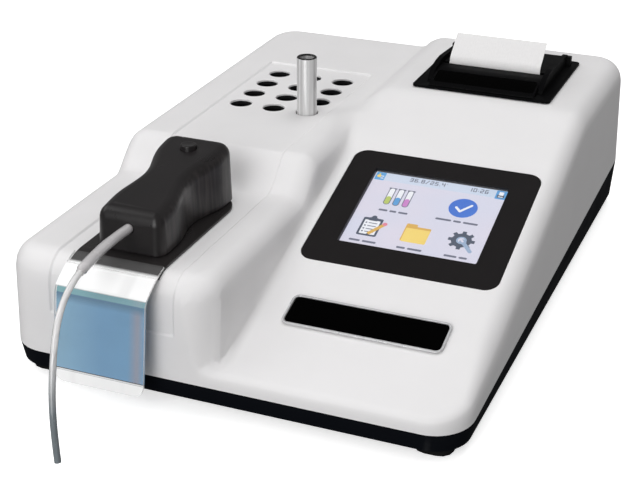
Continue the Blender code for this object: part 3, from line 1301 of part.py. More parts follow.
def printer_tub_outline(clearance):
    """Outline of the tub that hangs in the printer bay."""
    width = PRINTER_WIDTH - 2 * TUB_SIDE_MARGIN + 2 * clearance
    depth = PRINTER_BACK_Y - PRINTER_FRONT_Y - 2 * TUB_END_MARGIN + 2 * clearance
    return rounded_outline(width, depth, PRINTER_CORNER)


def printer_top(y):
    """Height of the printer's cover: rises from its front edge, then level up to the slot and on."""
    start = PRINTER_FRONT_Y + TUB_END_MARGIN / 2
    share = smooth_share((y - start) / (WEDGE_BACK_Y - start) / 2 + 1 / 2) * 2 - 1
    return PRINTER_DECK_HEIGHT + PRINTER_FLANGE + GAP + WEDGE_RISE * min(max(share, 0), 1)


def cheek_height(y):
    """Top of the side cheeks: a rounded front, the highest point, then a slight fall to the back."""
    if y < CHEEK_PEAK_Y:
        share = (CHEEK_PEAK_Y - y) / (CHEEK_PEAK_Y - CHEEK_FRONT_Y)
        rise = CHEEK_RISE * math.sqrt(max(1 - share * share, 0))
    else:
        rise = CHEEK_RISE - CHEEK_FALL * (y - CHEEK_PEAK_Y) / (CHEEK_BACK_Y - CHEEK_PEAK_Y)
    return PRINTER_DECK_HEIGHT + PRINTER_FLANGE + rise


def profile_solid(profile, low_x, high_x):
    """A side profile of (y, z) points drawn out along X."""
    return stacked([[(x, y, z) for y, z in profile] for x in (low_x, high_x)])


def make_printer(body, door_body, platen_body, roll_body):
    """Thermal printer: frame with tub and cheeks, front cover, door, platen, head and paper."""
    inner_half = PRINTER_WIDTH / 2 - TUB_SIDE_MARGIN - PRINTER_WALL
    centre_y = (PRINTER_FRONT_Y + PRINTER_BACK_Y) / 2
    deck = PRINTER_DECK_HEIGHT
    frame = Matrix.Translation((PRINTER_X, centre_y, 0))
    flange = prism(rounded_outline(PRINTER_WIDTH, PRINTER_BACK_Y - PRINTER_FRONT_Y, PRINTER_CORNER),
                   deck + GAP, deck + PRINTER_FLANGE, frame)
    tub = prism(printer_tub_outline(0), deck - TUB_DEPTH, deck + PRINTER_FLANGE / 2, frame)
    bay = block((PRINTER_X - inner_half, PRINTER_FRONT_Y + TUB_END_MARGIN + PRINTER_WALL,
                 deck - TUB_DEPTH + PRINTER_WALL),
                (PRINTER_X + inner_half, CHEEK_BACK_Y + GAP, deck + PRINTER_FLANGE + OVERRUN))
    cheeks = []
    arch = CHEEK_PEAK_Y - CHEEK_FRONT_Y
    cheek_ys = [CHEEK_PEAK_Y - arch * math.cos(math.radians(90) * step / PRINTER_STEPS)
                for step in range(PRINTER_STEPS + 1)] + [CHEEK_BACK_Y]
    base = deck + PRINTER_FLANGE / 2
    profile = [(cheek_ys[-1], base), (cheek_ys[0], base)] + [(y, cheek_height(y)) for y in cheek_ys]
    for side in (-1, 1):
        outer = PRINTER_X + side * (inner_half + CHEEK_WIDTH)
        cheeks.append(profile_solid(profile, *sorted((PRINTER_X + side * inner_half, outer))))
        ends = sorted((outer - side * GAP, outer + side * HINGE_BOSS_WIDTH))
        cheeks.append(block((ends[0], CHEEK_BACK_Y - HINGE_BOSS_LENGTH, base),
                            (ends[1], CHEEK_BACK_Y - GAP, cheek_height(CHEEK_BACK_Y) - GAP)))
    hinge_y = CHEEK_BACK_Y - KNUCKLE_RADIUS - GAP
    hinge_z = printer_top(CHEEK_BACK_Y) - KNUCKLE_RADIUS
    pin_hole = rod(HINGE_RADIUS + GAP, (0, hinge_y, hinge_z), PRINTER_X - inner_half - CHEEK_WIDTH / 2,
                   PRINTER_X + inner_half + CHEEK_WIDTH / 2, "X", SMALL_SIDES)
    add_piece("printer_frame", "pan_black", flange, body,
              unions=[tub, merged(*cheeks[::2]), merged(*cheeks[1::2])], cuts=[bay, pin_hole])
    add_piece("door_hinge_pin", "steel",
              rod(HINGE_RADIUS, (0, hinge_y, hinge_z), PRINTER_X - inner_half - CHEEK_WIDTH / 2 + GAP,
                  PRINTER_X + inner_half + CHEEK_WIDTH / 2 - GAP, "X", SMALL_SIDES), body)

    half = inner_half - GAP
    wedge_front = PRINTER_FRONT_Y + TUB_END_MARGIN / 2
    wedge_back = SLOT_Y - SLOT_HALF
    ys = [wedge_front + (wedge_back - wedge_front) * step / PRINTER_STEPS for step in range(PRINTER_STEPS + 1)]
    floor = deck + PRINTER_FLANGE + GAP
    over = [(y, max(printer_top(y), floor + GAP)) for y in ys]
    wedge = profile_solid([(wedge_back, floor), (wedge_front, floor)] + over, PRINTER_X - half, PRINTER_X + half)
    label_y = [wedge_front + (wedge_back - wedge_front) * share
               for share in (LABEL_FRONT_SHARE, LABEL_BACK_SHARE)]
    steps = [label_y[0] + (label_y[1] - label_y[0]) * step / 3 for step in range(4)]
    pocket = [(y, printer_top(y) - LABEL_DEPTH) for y in steps]
    pocket += [(y, printer_top(y) + OVERRUN) for y in steps[::-1]]
    recess = profile_solid(pocket, PRINTER_X - half + LABEL_MARGIN_X, PRINTER_X + half - LABEL_MARGIN_X)
    add_piece("printer_front_cover", "pan_black", wedge, body, cuts=[recess])
    head_back = SLOT_Y - PAPER_THICKNESS / 2 - HEAD_CLEARANCE
    head_top = floor - GAP
    add_piece("print_head", "bright_metal",
              block((PRINTER_X - PAPER_WIDTH / 2, head_back - HEAD_DEPTH, head_top - HEAD_HEIGHT),
                    (PRINTER_X + PAPER_WIDTH / 2, head_back, head_top)), body)

    platen_y = SLOT_Y + PAPER_THICKNESS / 2 + GAP + PLATEN_RADIUS
    platen_z = deck + PRINTER_FLANGE - PLATEN_RADIUS + GAP
    door_top = printer_top(SLOT_Y)
    door_low = door_top - DOOR_THICKNESS
    lid = block((PRINTER_X - half, SLOT_Y + SLOT_HALF, door_low), (PRINTER_X + half, hinge_y, door_top))
    knuckle = rod(KNUCKLE_RADIUS, (0, hinge_y, hinge_z), PRINTER_X - half, PRINTER_X + half, "X")
    knuckle_bore = rod(HINGE_RADIUS + GAP, (0, hinge_y, hinge_z), PRINTER_X - half - OVERRUN,
                       PRINTER_X + half + OVERRUN, "X", SMALL_SIDES)
    ears = []
    ear_in = PAPER_WIDTH / 2 + 2 * GAP
    for side in (-1, 1):
        ends = sorted((PRINTER_X + side * ear_in, PRINTER_X + side * (ear_in + EAR_THICKNESS)))
        ears.append(block((ends[0], SLOT_Y + SLOT_HALF, platen_z - PLATEN_RADIUS),
                          (ends[1], platen_y + PLATEN_RADIUS, door_low + DOOR_THICKNESS / 2)))
    axle_holes = rod(AXLE_RADIUS + GAP, (0, platen_y, platen_z), PRINTER_X - half, PRINTER_X + half, "X",
                     SMALL_SIDES)
    add_piece("printer_door", "pan_black", lid, door_body, unions=[knuckle, merged(*ears)],
              cuts=[knuckle_bore, axle_holes])
    reach = ear_in + EAR_THICKNESS
    platen = turned([(0, -reach), (AXLE_RADIUS, -reach), (AXLE_RADIUS, -PAPER_WIDTH / 2),
                     (PLATEN_RADIUS, -PAPER_WIDTH / 2), (PLATEN_RADIUS, PAPER_WIDTH / 2),
                     (AXLE_RADIUS, PAPER_WIDTH / 2), (AXLE_RADIUS, reach), (0, reach)],
                    (PRINTER_X, platen_y, platen_z), "X")
    add_piece("platen_roller", "rubber_black", platen, platen_body)

    roll_y = SLOT_Y + PAPER_THICKNESS + ROLL_RADIUS + GAP
    roll_z = deck - TUB_DEPTH + PRINTER_WALL + GAP + ROLL_RADIUS
    add_piece("paper_roll", "paper_white",
              ring(ROLL_RADIUS, ROLL_CORE_RADIUS, (PRINTER_X, roll_y, roll_z), -PAPER_WIDTH / 2, PAPER_WIDTH / 2,
                   "X", FINE_SIDES), roll_body)
    half_paper = PAPER_WIDTH / 2
    add_piece("paper_web", "paper_white",
              block((PRINTER_X - half_paper, SLOT_Y - PAPER_THICKNESS / 2, roll_z),
                    (PRINTER_X + half_paper, SLOT_Y + PAPER_THICKNESS / 2, platen_z - PLATEN_RADIUS)), body)
    strip = [(SLOT_Y, platen_z, math.radians(90)), (SLOT_Y, door_top, math.radians(90))]
    for step in range(1, SHEET_ROWS + 1):
        tilt = math.radians(90) + (PAPER_LEAN - math.radians(90)) * step / SHEET_ROWS
        strip.append((SLOT_Y + PAPER_BEND_RADIUS * (1 - math.sin(tilt)),
                      door_top + PAPER_BEND_RADIUS * math.cos(tilt), tilt))
    y, z, tilt = strip[-1]
    strip.append((y + PAPER_SHOWN * math.cos(tilt), z + PAPER_SHOWN * math.sin(tilt), tilt))
    rows = [[(PRINTER_X + side * half_paper, y + PAPER_THICKNESS / 2 * math.sin(tilt),
              z - PAPER_THICKNESS / 2 * math.cos(tilt), tilt) for side in (-1, 1)] for y, z, tilt in strip]
    add_piece("paper_strip", "paper_white", sheet(rows, PAPER_THICKNESS), door_body)


# Power supply, rear panel and what is mounted in it
SUPPLY_SIDE_INSET = 0.0124
SUPPLY_WIDTH = DISPLAY_WIDTH - 2 * SUPPLY_SIDE_INSET
SUPPLY_SHIFT = 0.001
SUPPLY_LOW = (PRINTER_X + SUPPLY_SHIFT - SUPPLY_WIDTH / 2, SUPPLY_FRONT_Y)
SUPPLY_HIGH = (PRINTER_X + SUPPLY_SHIFT + SUPPLY_WIDTH / 2, SUPPLY_FRONT_Y + SUPPLY_LENGTH)
SUPPLY_CLEARANCE = 0.0037
INLET_OFFSET = 0.025
INLET_X = REAR_PANEL_X + REAR_PANEL_WIDTH / 2 - INLET_OFFSET
INLET_SIZE = (0.028, 0.022)
INLET_DEPTH = 0.019
INLET_CAVITY = (0.0235, 0.0165)
CAVITY_DEPTH = 0.016
INLET_PINS = 3
PIN_PITCH = 0.007
PIN_SIZE = (0.002, 0.004)
PIN_LENGTH = 0.009
FLANGE_LIP = 0.0015
SWITCH_OFFSET = 0.030
SWITCH_X = INLET_X - SWITCH_OFFSET
SWITCH_FACE = (0.013, 0.020)
SWITCH_DEPTH = 0.014
ROCKER_TILT = math.radians(10)
ROCKER_THICKNESS = 0.004
SERIAL_OFFSET = 0.032
SERIAL_X = SWITCH_X - SERIAL_OFFSET
SERIAL_FACE = (0.019, 0.010)
SERIAL_DEPTH = 0.010
FAN_OFFSET = 0.036
FAN_X = REAR_PANEL_X - REAR_PANEL_WIDTH / 2 + FAN_OFFSET
FAN_SIZE = 0.040
FAN_DEPTH = 0.010
FAN_WALL = 0.0015
FAN_HUB_RADIUS = 0.009
FAN_BLADES = 7
GRILLE_SLOTS = 5


def panel_front():
    """Y of the rear panel's outer face, which sits inside the housing's wall."""
    lean = DRAFT_SLOPE * (REAR_PANEL_Z + REAR_PANEL_HEIGHT / 2 - PARTING_BACK)
    return BODY_DEPTH / 2 - WALL + REAR_PANEL_THICKNESS / 2 - lean / 2


def face_block(x, z, size, low_y, high_y):
    """A box centred on a place of the rear panel."""
    return block((x - size[0] / 2, low_y, z - size[1] / 2), (x + size[0] / 2, high_y, z + size[1] / 2))


def fan_grille(outer_y):
    """Slots cut through the rear panel in front of the fan."""
    slots = []
    pitch = (FAN_SIZE - 2 * FAN_WALL) / (2 * GRILLE_SLOTS + 1)
    for index in range(GRILLE_SLOTS):
        z = REAR_PANEL_Z + (index - (GRILLE_SLOTS - 1) / 2) * 2 * pitch
        slots.append(face_block(FAN_X, z, (FAN_SIZE * 3 / 4, pitch), outer_y - WALL, outer_y + OVERRUN))
    return slots


def make_rear(body, rocker_body, fan_body):
    """Rear panel with mains inlet, power switch, serial socket and fan, and the power supply."""
    outer = panel_front()
    inner = outer - REAR_PANEL_THICKNESS
    z = REAR_PANEL_Z
    holes = [face_block(x, z, (size[0] + 2 * GAP, size[1] + 2 * GAP), inner - OVERRUN, outer + OVERRUN)
             for x, size in ((INLET_X, INLET_SIZE), (SWITCH_X, SWITCH_FACE), (SERIAL_X, SERIAL_FACE))]
    panel = face_block(REAR_PANEL_X, z, (REAR_PANEL_WIDTH, REAR_PANEL_HEIGHT), inner, outer)
    add_piece("rear_panel", "part_grey", panel, body, cuts=[merged(*holes, *fan_grille(outer))])

    lip = outer + GAP
    face = lip + REAR_PANEL_THICKNESS / 2
    wide = 2 * FLANGE_LIP

    def socket(name, x, size, depth, cavity, cavity_depth, pins):
        shell = face_block(x, z, size, face - depth, face)
        flange = face_block(x, z, (size[0] + wide, size[1] + wide), lip, face)
        hollow = face_block(x, z, cavity, face - cavity_depth, face + OVERRUN)
        thing = add_piece(name, "bezel_black", shell, body, unions=[flange], cuts=[hollow])
        if pins:
            helper = mesh_object(f"{name}_pins", merged(*pins), body)
            helper.hide_render = True
            helper.display_type = "WIRE"
            modifier = thing.modifiers.new("pins", "BOOLEAN")
            modifier.operation = "UNION"
            modifier.object = helper
            modifier.solver = "EXACT"

    pins = []
    root = face - CAVITY_DEPTH
    for index in range(INLET_PINS):
        offset = index - (INLET_PINS - 1) / 2
        pin_z = z + (PIN_SIZE[1] / 2 if offset == 0 else -PIN_SIZE[1] / 4)
        pins.append(face_block(INLET_X + offset * PIN_PITCH, pin_z, PIN_SIZE, root - OVERRUN, root + PIN_LENGTH))
    socket("power_inlet", INLET_X, INLET_SIZE, INLET_DEPTH, INLET_CAVITY, CAVITY_DEPTH, pins)
    hollow = (SERIAL_FACE[0] - 2 * REAR_PANEL_THICKNESS, SERIAL_FACE[1] - 2 * REAR_PANEL_THICKNESS)
    socket("serial_socket", SERIAL_X, SERIAL_FACE, SERIAL_DEPTH, hollow, SERIAL_DEPTH / 2, [])

    pocket = (SWITCH_FACE[0] - 2 * REAR_PANEL_THICKNESS, SWITCH_FACE[1] - 2 * REAR_PANEL_THICKNESS)
    socket("power_switch_frame", SWITCH_X, SWITCH_FACE, SWITCH_DEPTH, pocket, SWITCH_DEPTH * 3 / 4, [])
    half_z = pocket[1] / 2 - 2 * GAP
    rocker = face_block(SWITCH_X, z, (pocket[0] - 2 * GAP, 2 * half_z),
                        face - ROCKER_THICKNESS, face - half_z * math.sin(ROCKER_TILT))
    pivot = Vector((SWITCH_X, face - ROCKER_THICKNESS / 2, z))
    rocker.transform(Matrix.Translation(pivot) @ Matrix.Rotation(ROCKER_TILT, 4, "X")
                     @ Matrix.Translation(-pivot))
    add_piece("power_switch_rocker", "pan_black", rocker, rocker_body)

    fan_back = inner - GAP
    frame = face_block(FAN_X, z, (FAN_SIZE, FAN_SIZE), fan_back - FAN_DEPTH, fan_back)
    tunnel = rod(FAN_SIZE / 2 - FAN_WALL, (FAN_X, 0, z), fan_back - FAN_DEPTH + FAN_WALL, fan_back + OVERRUN, "Y")
    breath = rod(FAN_HUB_RADIUS, (FAN_X, 0, z), fan_back - FAN_DEPTH - OVERRUN, fan_back, "Y")
    axle = rod(MOTOR_SHAFT_RADIUS, (FAN_X, 0, z), fan_back - FAN_DEPTH, fan_back - FAN_WALL, "Y", SMALL_SIDES)
    bar = block((FAN_X - FAN_SIZE / 2, fan_back - FAN_DEPTH, z - FAN_WALL),
                (FAN_X + FAN_SIZE / 2, fan_back - FAN_DEPTH + FAN_WALL, z + FAN_WALL))
    fan = add_piece("fan_frame", "pan_black", frame, body, cuts=[tunnel, breath])
    for number, tool in enumerate((bar, axle)):
        helper = mesh_object(f"fan_frame_bar_{number}", tool, body)
        helper.hide_render = True
        helper.display_type = "WIRE"
        modifier = fan.modifiers.new(f"bar_{number}", "BOOLEAN")
        modifier.operation = "UNION"
        modifier.object = helper
        modifier.solver = "EXACT"
    hub_low = fan_back - FAN_DEPTH + FAN_WALL + GAP
    hub_high = fan_back - FAN_WALL
    hub = ring(FAN_HUB_RADIUS - FAN_WALL, MOTOR_SHAFT_RADIUS + GAP, (FAN_X, 0, z), hub_low, hub_high, "Y")
    blades = []
    reach = FAN_SIZE / 2 - 2 * FAN_WALL
    for index in range(FAN_BLADES):
        blade = block((FAN_HUB_RADIUS / 2, -FAN_WALL / 4, hub_low + FAN_WALL / 2),
                      (reach, FAN_WALL / 4, hub_high - FAN_WALL / 2))
        middle = Vector((reach / 2, 0, (hub_low + hub_high) / 2))
        blade.transform(Matrix.Translation(middle) @ Matrix.Rotation(math.radians(25), 4, "X")
                        @ Matrix.Translation(-middle))
        blade.transform(Matrix.Translation((FAN_X, 0, z)) @ Matrix.Rotation(math.radians(-90), 4, "X")
                        @ Matrix.Rotation(2 * math.pi * index / FAN_BLADES, 4, "Z"))
        blades.append(blade)
    add_piece("fan_impeller", "part_grey", hub, fan_body, unions=[merged(*blades)])

    supply_top = PRINTER_DECK_HEIGHT - TUB_DEPTH - SUPPLY_CLEARANCE
    add_piece("power_supply", "steel",
              block((*SUPPLY_LOW, WALL + GAP), (*SUPPLY_HIGH, supply_top)), body)


clear_scene()
analyzer = bpy.data.objects.new("analyzer", None)
bpy.context.scene.collection.objects.link(analyzer)
analyzer.location = (0, BODY_Y, FOOT_HEIGHT)
bpy.context.view_layer.update()

make_housing(analyzer)
make_pan(analyzer)
make_feet(analyzer)
make_incubator(analyzer)

tube_x, tube_y = list(well_centres())[WELL_COLUMNS - 1]
make_test_tube(add_body("test_tube_body", (tube_x, tube_y, WELL_FLOOR_Z), analyzer), tube_x, tube_y)

wheel = add_body("filter_wheel_body", (WHEEL_X, OPTICS_Y, OPTIC_Z - WHEEL_PITCH_RADIUS), analyzer)
make_optics(analyzer, wheel)

module = add_body("sipper_module_body", (MODULE_X, OPTICS_Y, LOBE_HEIGHT), analyzer)
button = add_body("aspirate_button_body", (COVER_X, BUTTON_Y, module_top(BUTTON_Y)), module)
make_module(module, button)
make_shield(module)
make_sipper(module)

make_pump(analyzer, add_body("pump_rotor_body", (PUMP_X, PUMP_Y, WALL), analyzer))
make_display(analyzer)
make_nameplate(analyzer)
make_main_board(analyzer)

hinge = (PRINTER_X, CHEEK_BACK_Y - KNUCKLE_RADIUS - GAP, printer_top(CHEEK_BACK_Y) - KNUCKLE_RADIUS)
door = add_body("printer_door_body", hinge, analyzer)
platen = add_body("platen_body", (PRINTER_X, SLOT_Y + PAPER_THICKNESS / 2 + GAP + PLATEN_RADIUS,
                                  PRINTER_DECK_HEIGHT + PRINTER_FLANGE - PLATEN_RADIUS + GAP), door)
roll = add_body("paper_roll_body", (PRINTER_X, SLOT_Y + PAPER_THICKNESS + ROLL_RADIUS + GAP,
                                    PRINTER_DECK_HEIGHT - TUB_DEPTH + PRINTER_WALL + GAP + ROLL_RADIUS), analyzer)
make_printer(analyzer, door, platen, roll)

switch_pivot = panel_front() + GAP + REAR_PANEL_THICKNESS / 2 - ROCKER_THICKNESS / 2
rocker_empty = add_body("rocker_body", (SWITCH_X, switch_pivot, REAR_PANEL_Z), analyzer)
fan_empty = add_body("fan_body", (FAN_X, panel_front() - REAR_PANEL_THICKNESS, REAR_PANEL_Z), analyzer)
make_rear(analyzer, rocker_empty, fan_empty)
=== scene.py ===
"""Looks of the bench-top semi-automatic chemistry analyzer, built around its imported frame.

Lengths are in metres. The body frame has its origin at the centre of the base pan's underside,
+X to the operator's right, +Y to the back and +Z up, as in the part's own source.
"""

import math

import bmesh
import bpy
from mathutils import Matrix, Vector


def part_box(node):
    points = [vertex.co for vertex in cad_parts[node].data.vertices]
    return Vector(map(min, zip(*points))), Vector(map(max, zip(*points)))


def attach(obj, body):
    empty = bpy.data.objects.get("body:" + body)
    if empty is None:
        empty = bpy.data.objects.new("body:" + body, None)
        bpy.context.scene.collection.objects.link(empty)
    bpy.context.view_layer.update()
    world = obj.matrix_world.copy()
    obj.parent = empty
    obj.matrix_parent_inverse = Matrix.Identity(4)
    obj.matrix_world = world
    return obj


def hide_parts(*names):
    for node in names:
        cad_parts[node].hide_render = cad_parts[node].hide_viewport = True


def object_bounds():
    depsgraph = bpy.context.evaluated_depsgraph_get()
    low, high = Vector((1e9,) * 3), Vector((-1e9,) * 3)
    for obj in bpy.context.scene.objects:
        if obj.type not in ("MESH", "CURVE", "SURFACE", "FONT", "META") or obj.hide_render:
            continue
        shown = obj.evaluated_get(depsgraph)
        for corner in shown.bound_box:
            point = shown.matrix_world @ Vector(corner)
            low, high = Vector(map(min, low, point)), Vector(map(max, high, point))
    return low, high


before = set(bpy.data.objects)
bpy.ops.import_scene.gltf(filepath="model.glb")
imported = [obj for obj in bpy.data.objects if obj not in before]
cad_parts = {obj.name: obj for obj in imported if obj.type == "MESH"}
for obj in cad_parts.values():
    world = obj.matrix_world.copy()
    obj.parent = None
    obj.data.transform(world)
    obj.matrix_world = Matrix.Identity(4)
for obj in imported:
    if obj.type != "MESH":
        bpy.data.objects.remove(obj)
cad_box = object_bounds()
pan_low, pan_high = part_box("base_pan")
ORIGIN = Vector(((pan_low.x + pan_high.x) / 2, (pan_low.y + pan_high.y) / 2, pan_low.z))
FLOOR_Z = cad_box[0].z

# Camera, in the body frame
IMAGE_WIDTH = 634
SENSOR_MM = 36
FOCAL_PIXELS = 1462.8
CAMERA_SPOT = (0.2798, -0.7472, 0.3897)
CAMERA_AZIMUTH = math.radians(21.98)
CAMERA_ELEVATION = math.radians(25.20)
CAMERA_ROLL = math.radians(0.21)


def make_camera():
    """The view of the photograph."""
    data = bpy.data.cameras.new("camera")
    data.sensor_width = SENSOR_MM
    data.lens = FOCAL_PIXELS * SENSOR_MM / IMAGE_WIDTH
    camera = bpy.data.objects.new("camera", data)
    bpy.context.scene.collection.objects.link(camera)
    camera.location = ORIGIN + Vector(CAMERA_SPOT)
    level = math.cos(CAMERA_ELEVATION)
    ahead = Vector((-math.sin(CAMERA_AZIMUTH) * level, math.cos(CAMERA_AZIMUTH) * level,
                    -math.sin(CAMERA_ELEVATION)))
    roll = Matrix.Rotation(CAMERA_ROLL, 3, "Z").to_quaternion()
    camera.rotation_mode = "QUATERNION"
    camera.rotation_quaternion = ahead.to_track_quat("-Z", "Y") @ roll
    bpy.context.scene.camera = camera


make_camera()

# Materials
CLOUD_SIZE = 0.030
GRAIN_SIZE = 0.0005
FINE_GRAIN_SIZE = 0.0003
GRAIN_DEPTH = 0.000006
RIPPLE_DEPTH = 0.00001
BRUSHING_DEPTH = 0.000004
BOARD_RELIEF = 0.00003
STREAK_SIZE = 0.0022
SOCKETS = {"specular": "Specular IOR Level", "coat": "Coat Weight", "coat_roughness": "Coat Roughness",
           "metallic": "Metallic", "alpha": "Alpha", "ior": "IOR", "transmission": "Transmission Weight"}


def put(tree, socket, value):
    """Links an output to a socket, or sets it; a colour comes as a tuple of three."""
    if isinstance(value, bpy.types.NodeSocket):
        tree.links.new(value, socket)
    else:
        socket.default_value = (*value, 1) if isinstance(value, tuple) else value


def add(tree, kind, sockets, output=0, **settings):
    """An output of a new shader node, with its settings made and its sockets set or linked."""
    node = tree.nodes.new(f"ShaderNode{kind}")
    for name, value in settings.items():
        setattr(node, name, value)
    for socket, value in sockets.items():
        put(tree, node.inputs[socket], value)
    return node.outputs[output]


def wire(tree, sockets):
    """Sets or links sockets of a material's shader."""
    for socket, value in sockets.items():
        put(tree, tree.nodes["Principled BSDF"].inputs[socket], value)


def new_material(name, colour, roughness, **sockets):
    """A Principled material; uniform values sit on the shader's own sockets."""
    material = bpy.data.materials.new(name)
    material.use_nodes = True
    wire(material.node_tree, {"Base Color": colour, "Roughness": roughness})
    wire(material.node_tree, {SOCKETS[key]: value for key, value in sockets.items()})
    return material, material.node_tree


def noise(tree, size, detail=2, stretch=(1, 1, 1)):
    """Noise with features of a real size, fixed to the piece."""
    place = add(tree, "TexCoord", {}, "Object")
    spread = add(tree, "Mapping", {"Vector": place, "Scale": [1 / (size * share) for share in stretch]})
    return add(tree, "TexNoise", {"Vector": spread, "Scale": 1, "Detail": detail}, "Fac")


def ranged(tree, value, low=0, high=1, start=0.3, end=0.7):
    """A value spread between two numbers."""
    return add(tree, "MapRange", {"Value": value, "From Min": start, "From Max": end, "To Min": low,
                                  "To Max": high})


def blended(tree, factor, first, second, **settings):
    """A colour between two, each a colour or another node's output."""
    return add(tree, "Mix", {0: factor, 6: first, 7: second}, 2, data_type="RGBA", **settings)


def combined(tree, operation, first, second=0):
    """Two values put together."""
    return add(tree, "Math", {0: first, 1: second}, operation=operation)


def relief(tree, height, depth):
    """A normal with relief of a real depth, from a height between 0 and 1."""
    return add(tree, "Bump", {"Height": height, "Distance": depth, "Strength": 1})


def part_of(tree, coordinate, axis):
    """One axis of a texture coordinate."""
    return add(tree, "SeparateXYZ", {0: add(tree, "TexCoord", {}, coordinate)}, axis)


def along_body(tree, low, high, axis="Z"):
    """0 at one place on an axis of the body frame and 1 at another, fixed to the piece."""
    base = ORIGIN["XYZ".index(axis)]
    return ranged(tree, part_of(tree, "Object", axis), 0, 1, base + low, base + high)


def sideways(tree, start):
    """1 on faces turned along the piece's X, 0 on the others."""
    return ranged(tree, combined(tree, "ABSOLUTE", part_of(tree, "Normal", "X")), 0, 1, start, 0.95)


def outlined(tree, tone, outline, blend, start, most):
    """A tone that goes over into another towards the outline of a round piece, used to paint shade along
    outlines.
    """
    facing = add(tree, "LayerWeight", {"Blend": blend}, "Facing")
    return blended(tree, ranged(tree, facing, 0, most, start, 1), tone, outline)


def scaled(colour, share):
    """A darker or lighter colour, no lighter than white."""
    return tuple(min(channel * share, 1) for channel in colour)


def smears(tree, low, high, share=3, detail=5, stretch=(1, 1, 1)):
    """Roughness that drifts between two values over patches of a share of the clouds' size."""
    return ranged(tree, noise(tree, CLOUD_SIZE / share, detail, stretch), low, high)


def edge_wear(tree, amount):
    """0 on faces and up to amount on worn convex edges."""
    pointed = add(tree, "NewGeometry", {}, "Pointiness")
    return combined(tree, "MULTIPLY", ranged(tree, pointed, 0, amount, 0.53, 0.62),
                    noise(tree, CLOUD_SIZE / 8, 4))


def moulded(name, colour, roughness, grain=GRAIN_SIZE, depth=GRAIN_DEPTH, vary=0.05, wear=0.3, **sockets):
    """Moulded plastic: fine spark grain, cloudy tone and sheen, and slightly rubbed edges."""
    material, tree = new_material(name, colour, roughness, **sockets)
    clouds = ranged(tree, noise(tree, CLOUD_SIZE, 4))
    tone = blended(tree, clouds, scaled(colour, 1 - vary), scaled(colour, 1 + vary))
    rubbed = tuple(channel + (1 - channel) * wear / 4 for channel in colour)
    wire(tree, {"Base Color": blended(tree, edge_wear(tree, wear), tone, rubbed),
                "Roughness": smears(tree, roughness - 0.05, roughness + 0.05, stretch=(1, 2, 1)),
                "Normal": relief(tree, noise(tree, grain, 3), depth)})
    return material


def brushed(name, colour, roughness, stretch):
    """Metal with fine lines along one direction."""
    material, tree = new_material(name, colour, roughness, metallic=1)
    lines = noise(tree, FINE_GRAIN_SIZE, 3, stretch)
    wire(tree, {"Base Color": blended(tree, ranged(tree, lines), scaled(colour, 0.92), colour),
                "Roughness": smears(tree, roughness * 0.8, roughness * 1.3, 4, 4),
                "Normal": relief(tree, lines, BRUSHING_DEPTH)})
    return material


def clear(name, colour, roughness, **sockets):
    """Clear material with faint ripples and smears."""
    material, tree = new_material(name, colour, roughness, **sockets)
    wire(tree, {"Roughness": smears(tree, roughness * 0.6, roughness * 1.6, 5),
                "Normal": relief(tree, noise(tree, CLOUD_SIZE / 3), RIPPLE_DEPTH)})
    return material


def boarded(name, colour):
    """Circuit board: green lacquer over faint tracks and pads."""
    material, tree = new_material(name, colour, 0.32)
    tracks = add(tree, "TexBrick", {"Vector": add(tree, "TexCoord", {}, "Object"), "Scale": 90,
                                    "Mortar Size": 0.03, "Color1": colour, "Color2": (0.03, 0.17, 0.08),
                                    "Mortar": (0.10, 0.30, 0.14)}, "Color")
    wire(tree, {"Base Color": tracks, "Normal": relief(tree, tracks.node.outputs["Fac"], BOARD_RELIEF)})
    return material


def papered(name, colour):
    """Paper: fine fibres, a soft uneven tone and no gloss."""
    material, tree = new_material(name, colour, 0.85)
    fibre = noise(tree, 0.0006, 5, (1, 3, 3))
    wire(tree, {"Base Color": blended(tree, ranged(tree, fibre), scaled(colour, 0.95), colour),
                "Normal": relief(tree, fibre, RIPPLE_DEPTH)})
    return material


def glowing(name, colour, second, strength):
    """A lit part of the screen, with a slow drift between two colours and a fine pixel weave."""
    material, tree = new_material(name, scaled(colour, 0.1), 0.5)
    drift = ranged(tree, noise(tree, CLOUD_SIZE, 1))
    weave = ranged(tree, noise(tree, 0.0004, 0), 0.97, 1)
    wire(tree, {"Emission Color": blended(tree, drift, colour, second), "Emission Strength": strength,
                "Roughness": ranged(tree, weave, 0.45, 0.55)})
    return material


def streaked_cover():
    """Charcoal plastic of the sipper's cover, with faint upright streaks of painted reflection on its flanks."""
    material, tree = new_material("module_charcoal", (0.0135, 0.0120, 0.0125), 0.32, specular=0.33)
    tone = blended(tree, ranged(tree, noise(tree, CLOUD_SIZE, 4)), (0.0125, 0.0112, 0.0118),
                   (0.0148, 0.0130, 0.0134))
    # Painted reflection: lighter brown-grey upright streaks, only on the flanks (faces turned along X).
    streaks = ranged(tree, noise(tree, STREAK_SIZE, 2, (1, 1, 14)), 0, 1, 0.40, 0.70)
    tone = blended(tree, combined(tree, "MULTIPLY", streaks, sideways(tree, 0.55)), tone, (0.040, 0.034, 0.034))
    wire(tree, {"Base Color": blended(tree, edge_wear(tree, 0.3), tone, (0.08, 0.075, 0.075)),
                "Roughness": smears(tree, 0.27, 0.37, stretch=(1, 2, 1)),
                "Normal": relief(tree, noise(tree, GRAIN_SIZE, 3), GRAIN_DEPTH)})
    return material


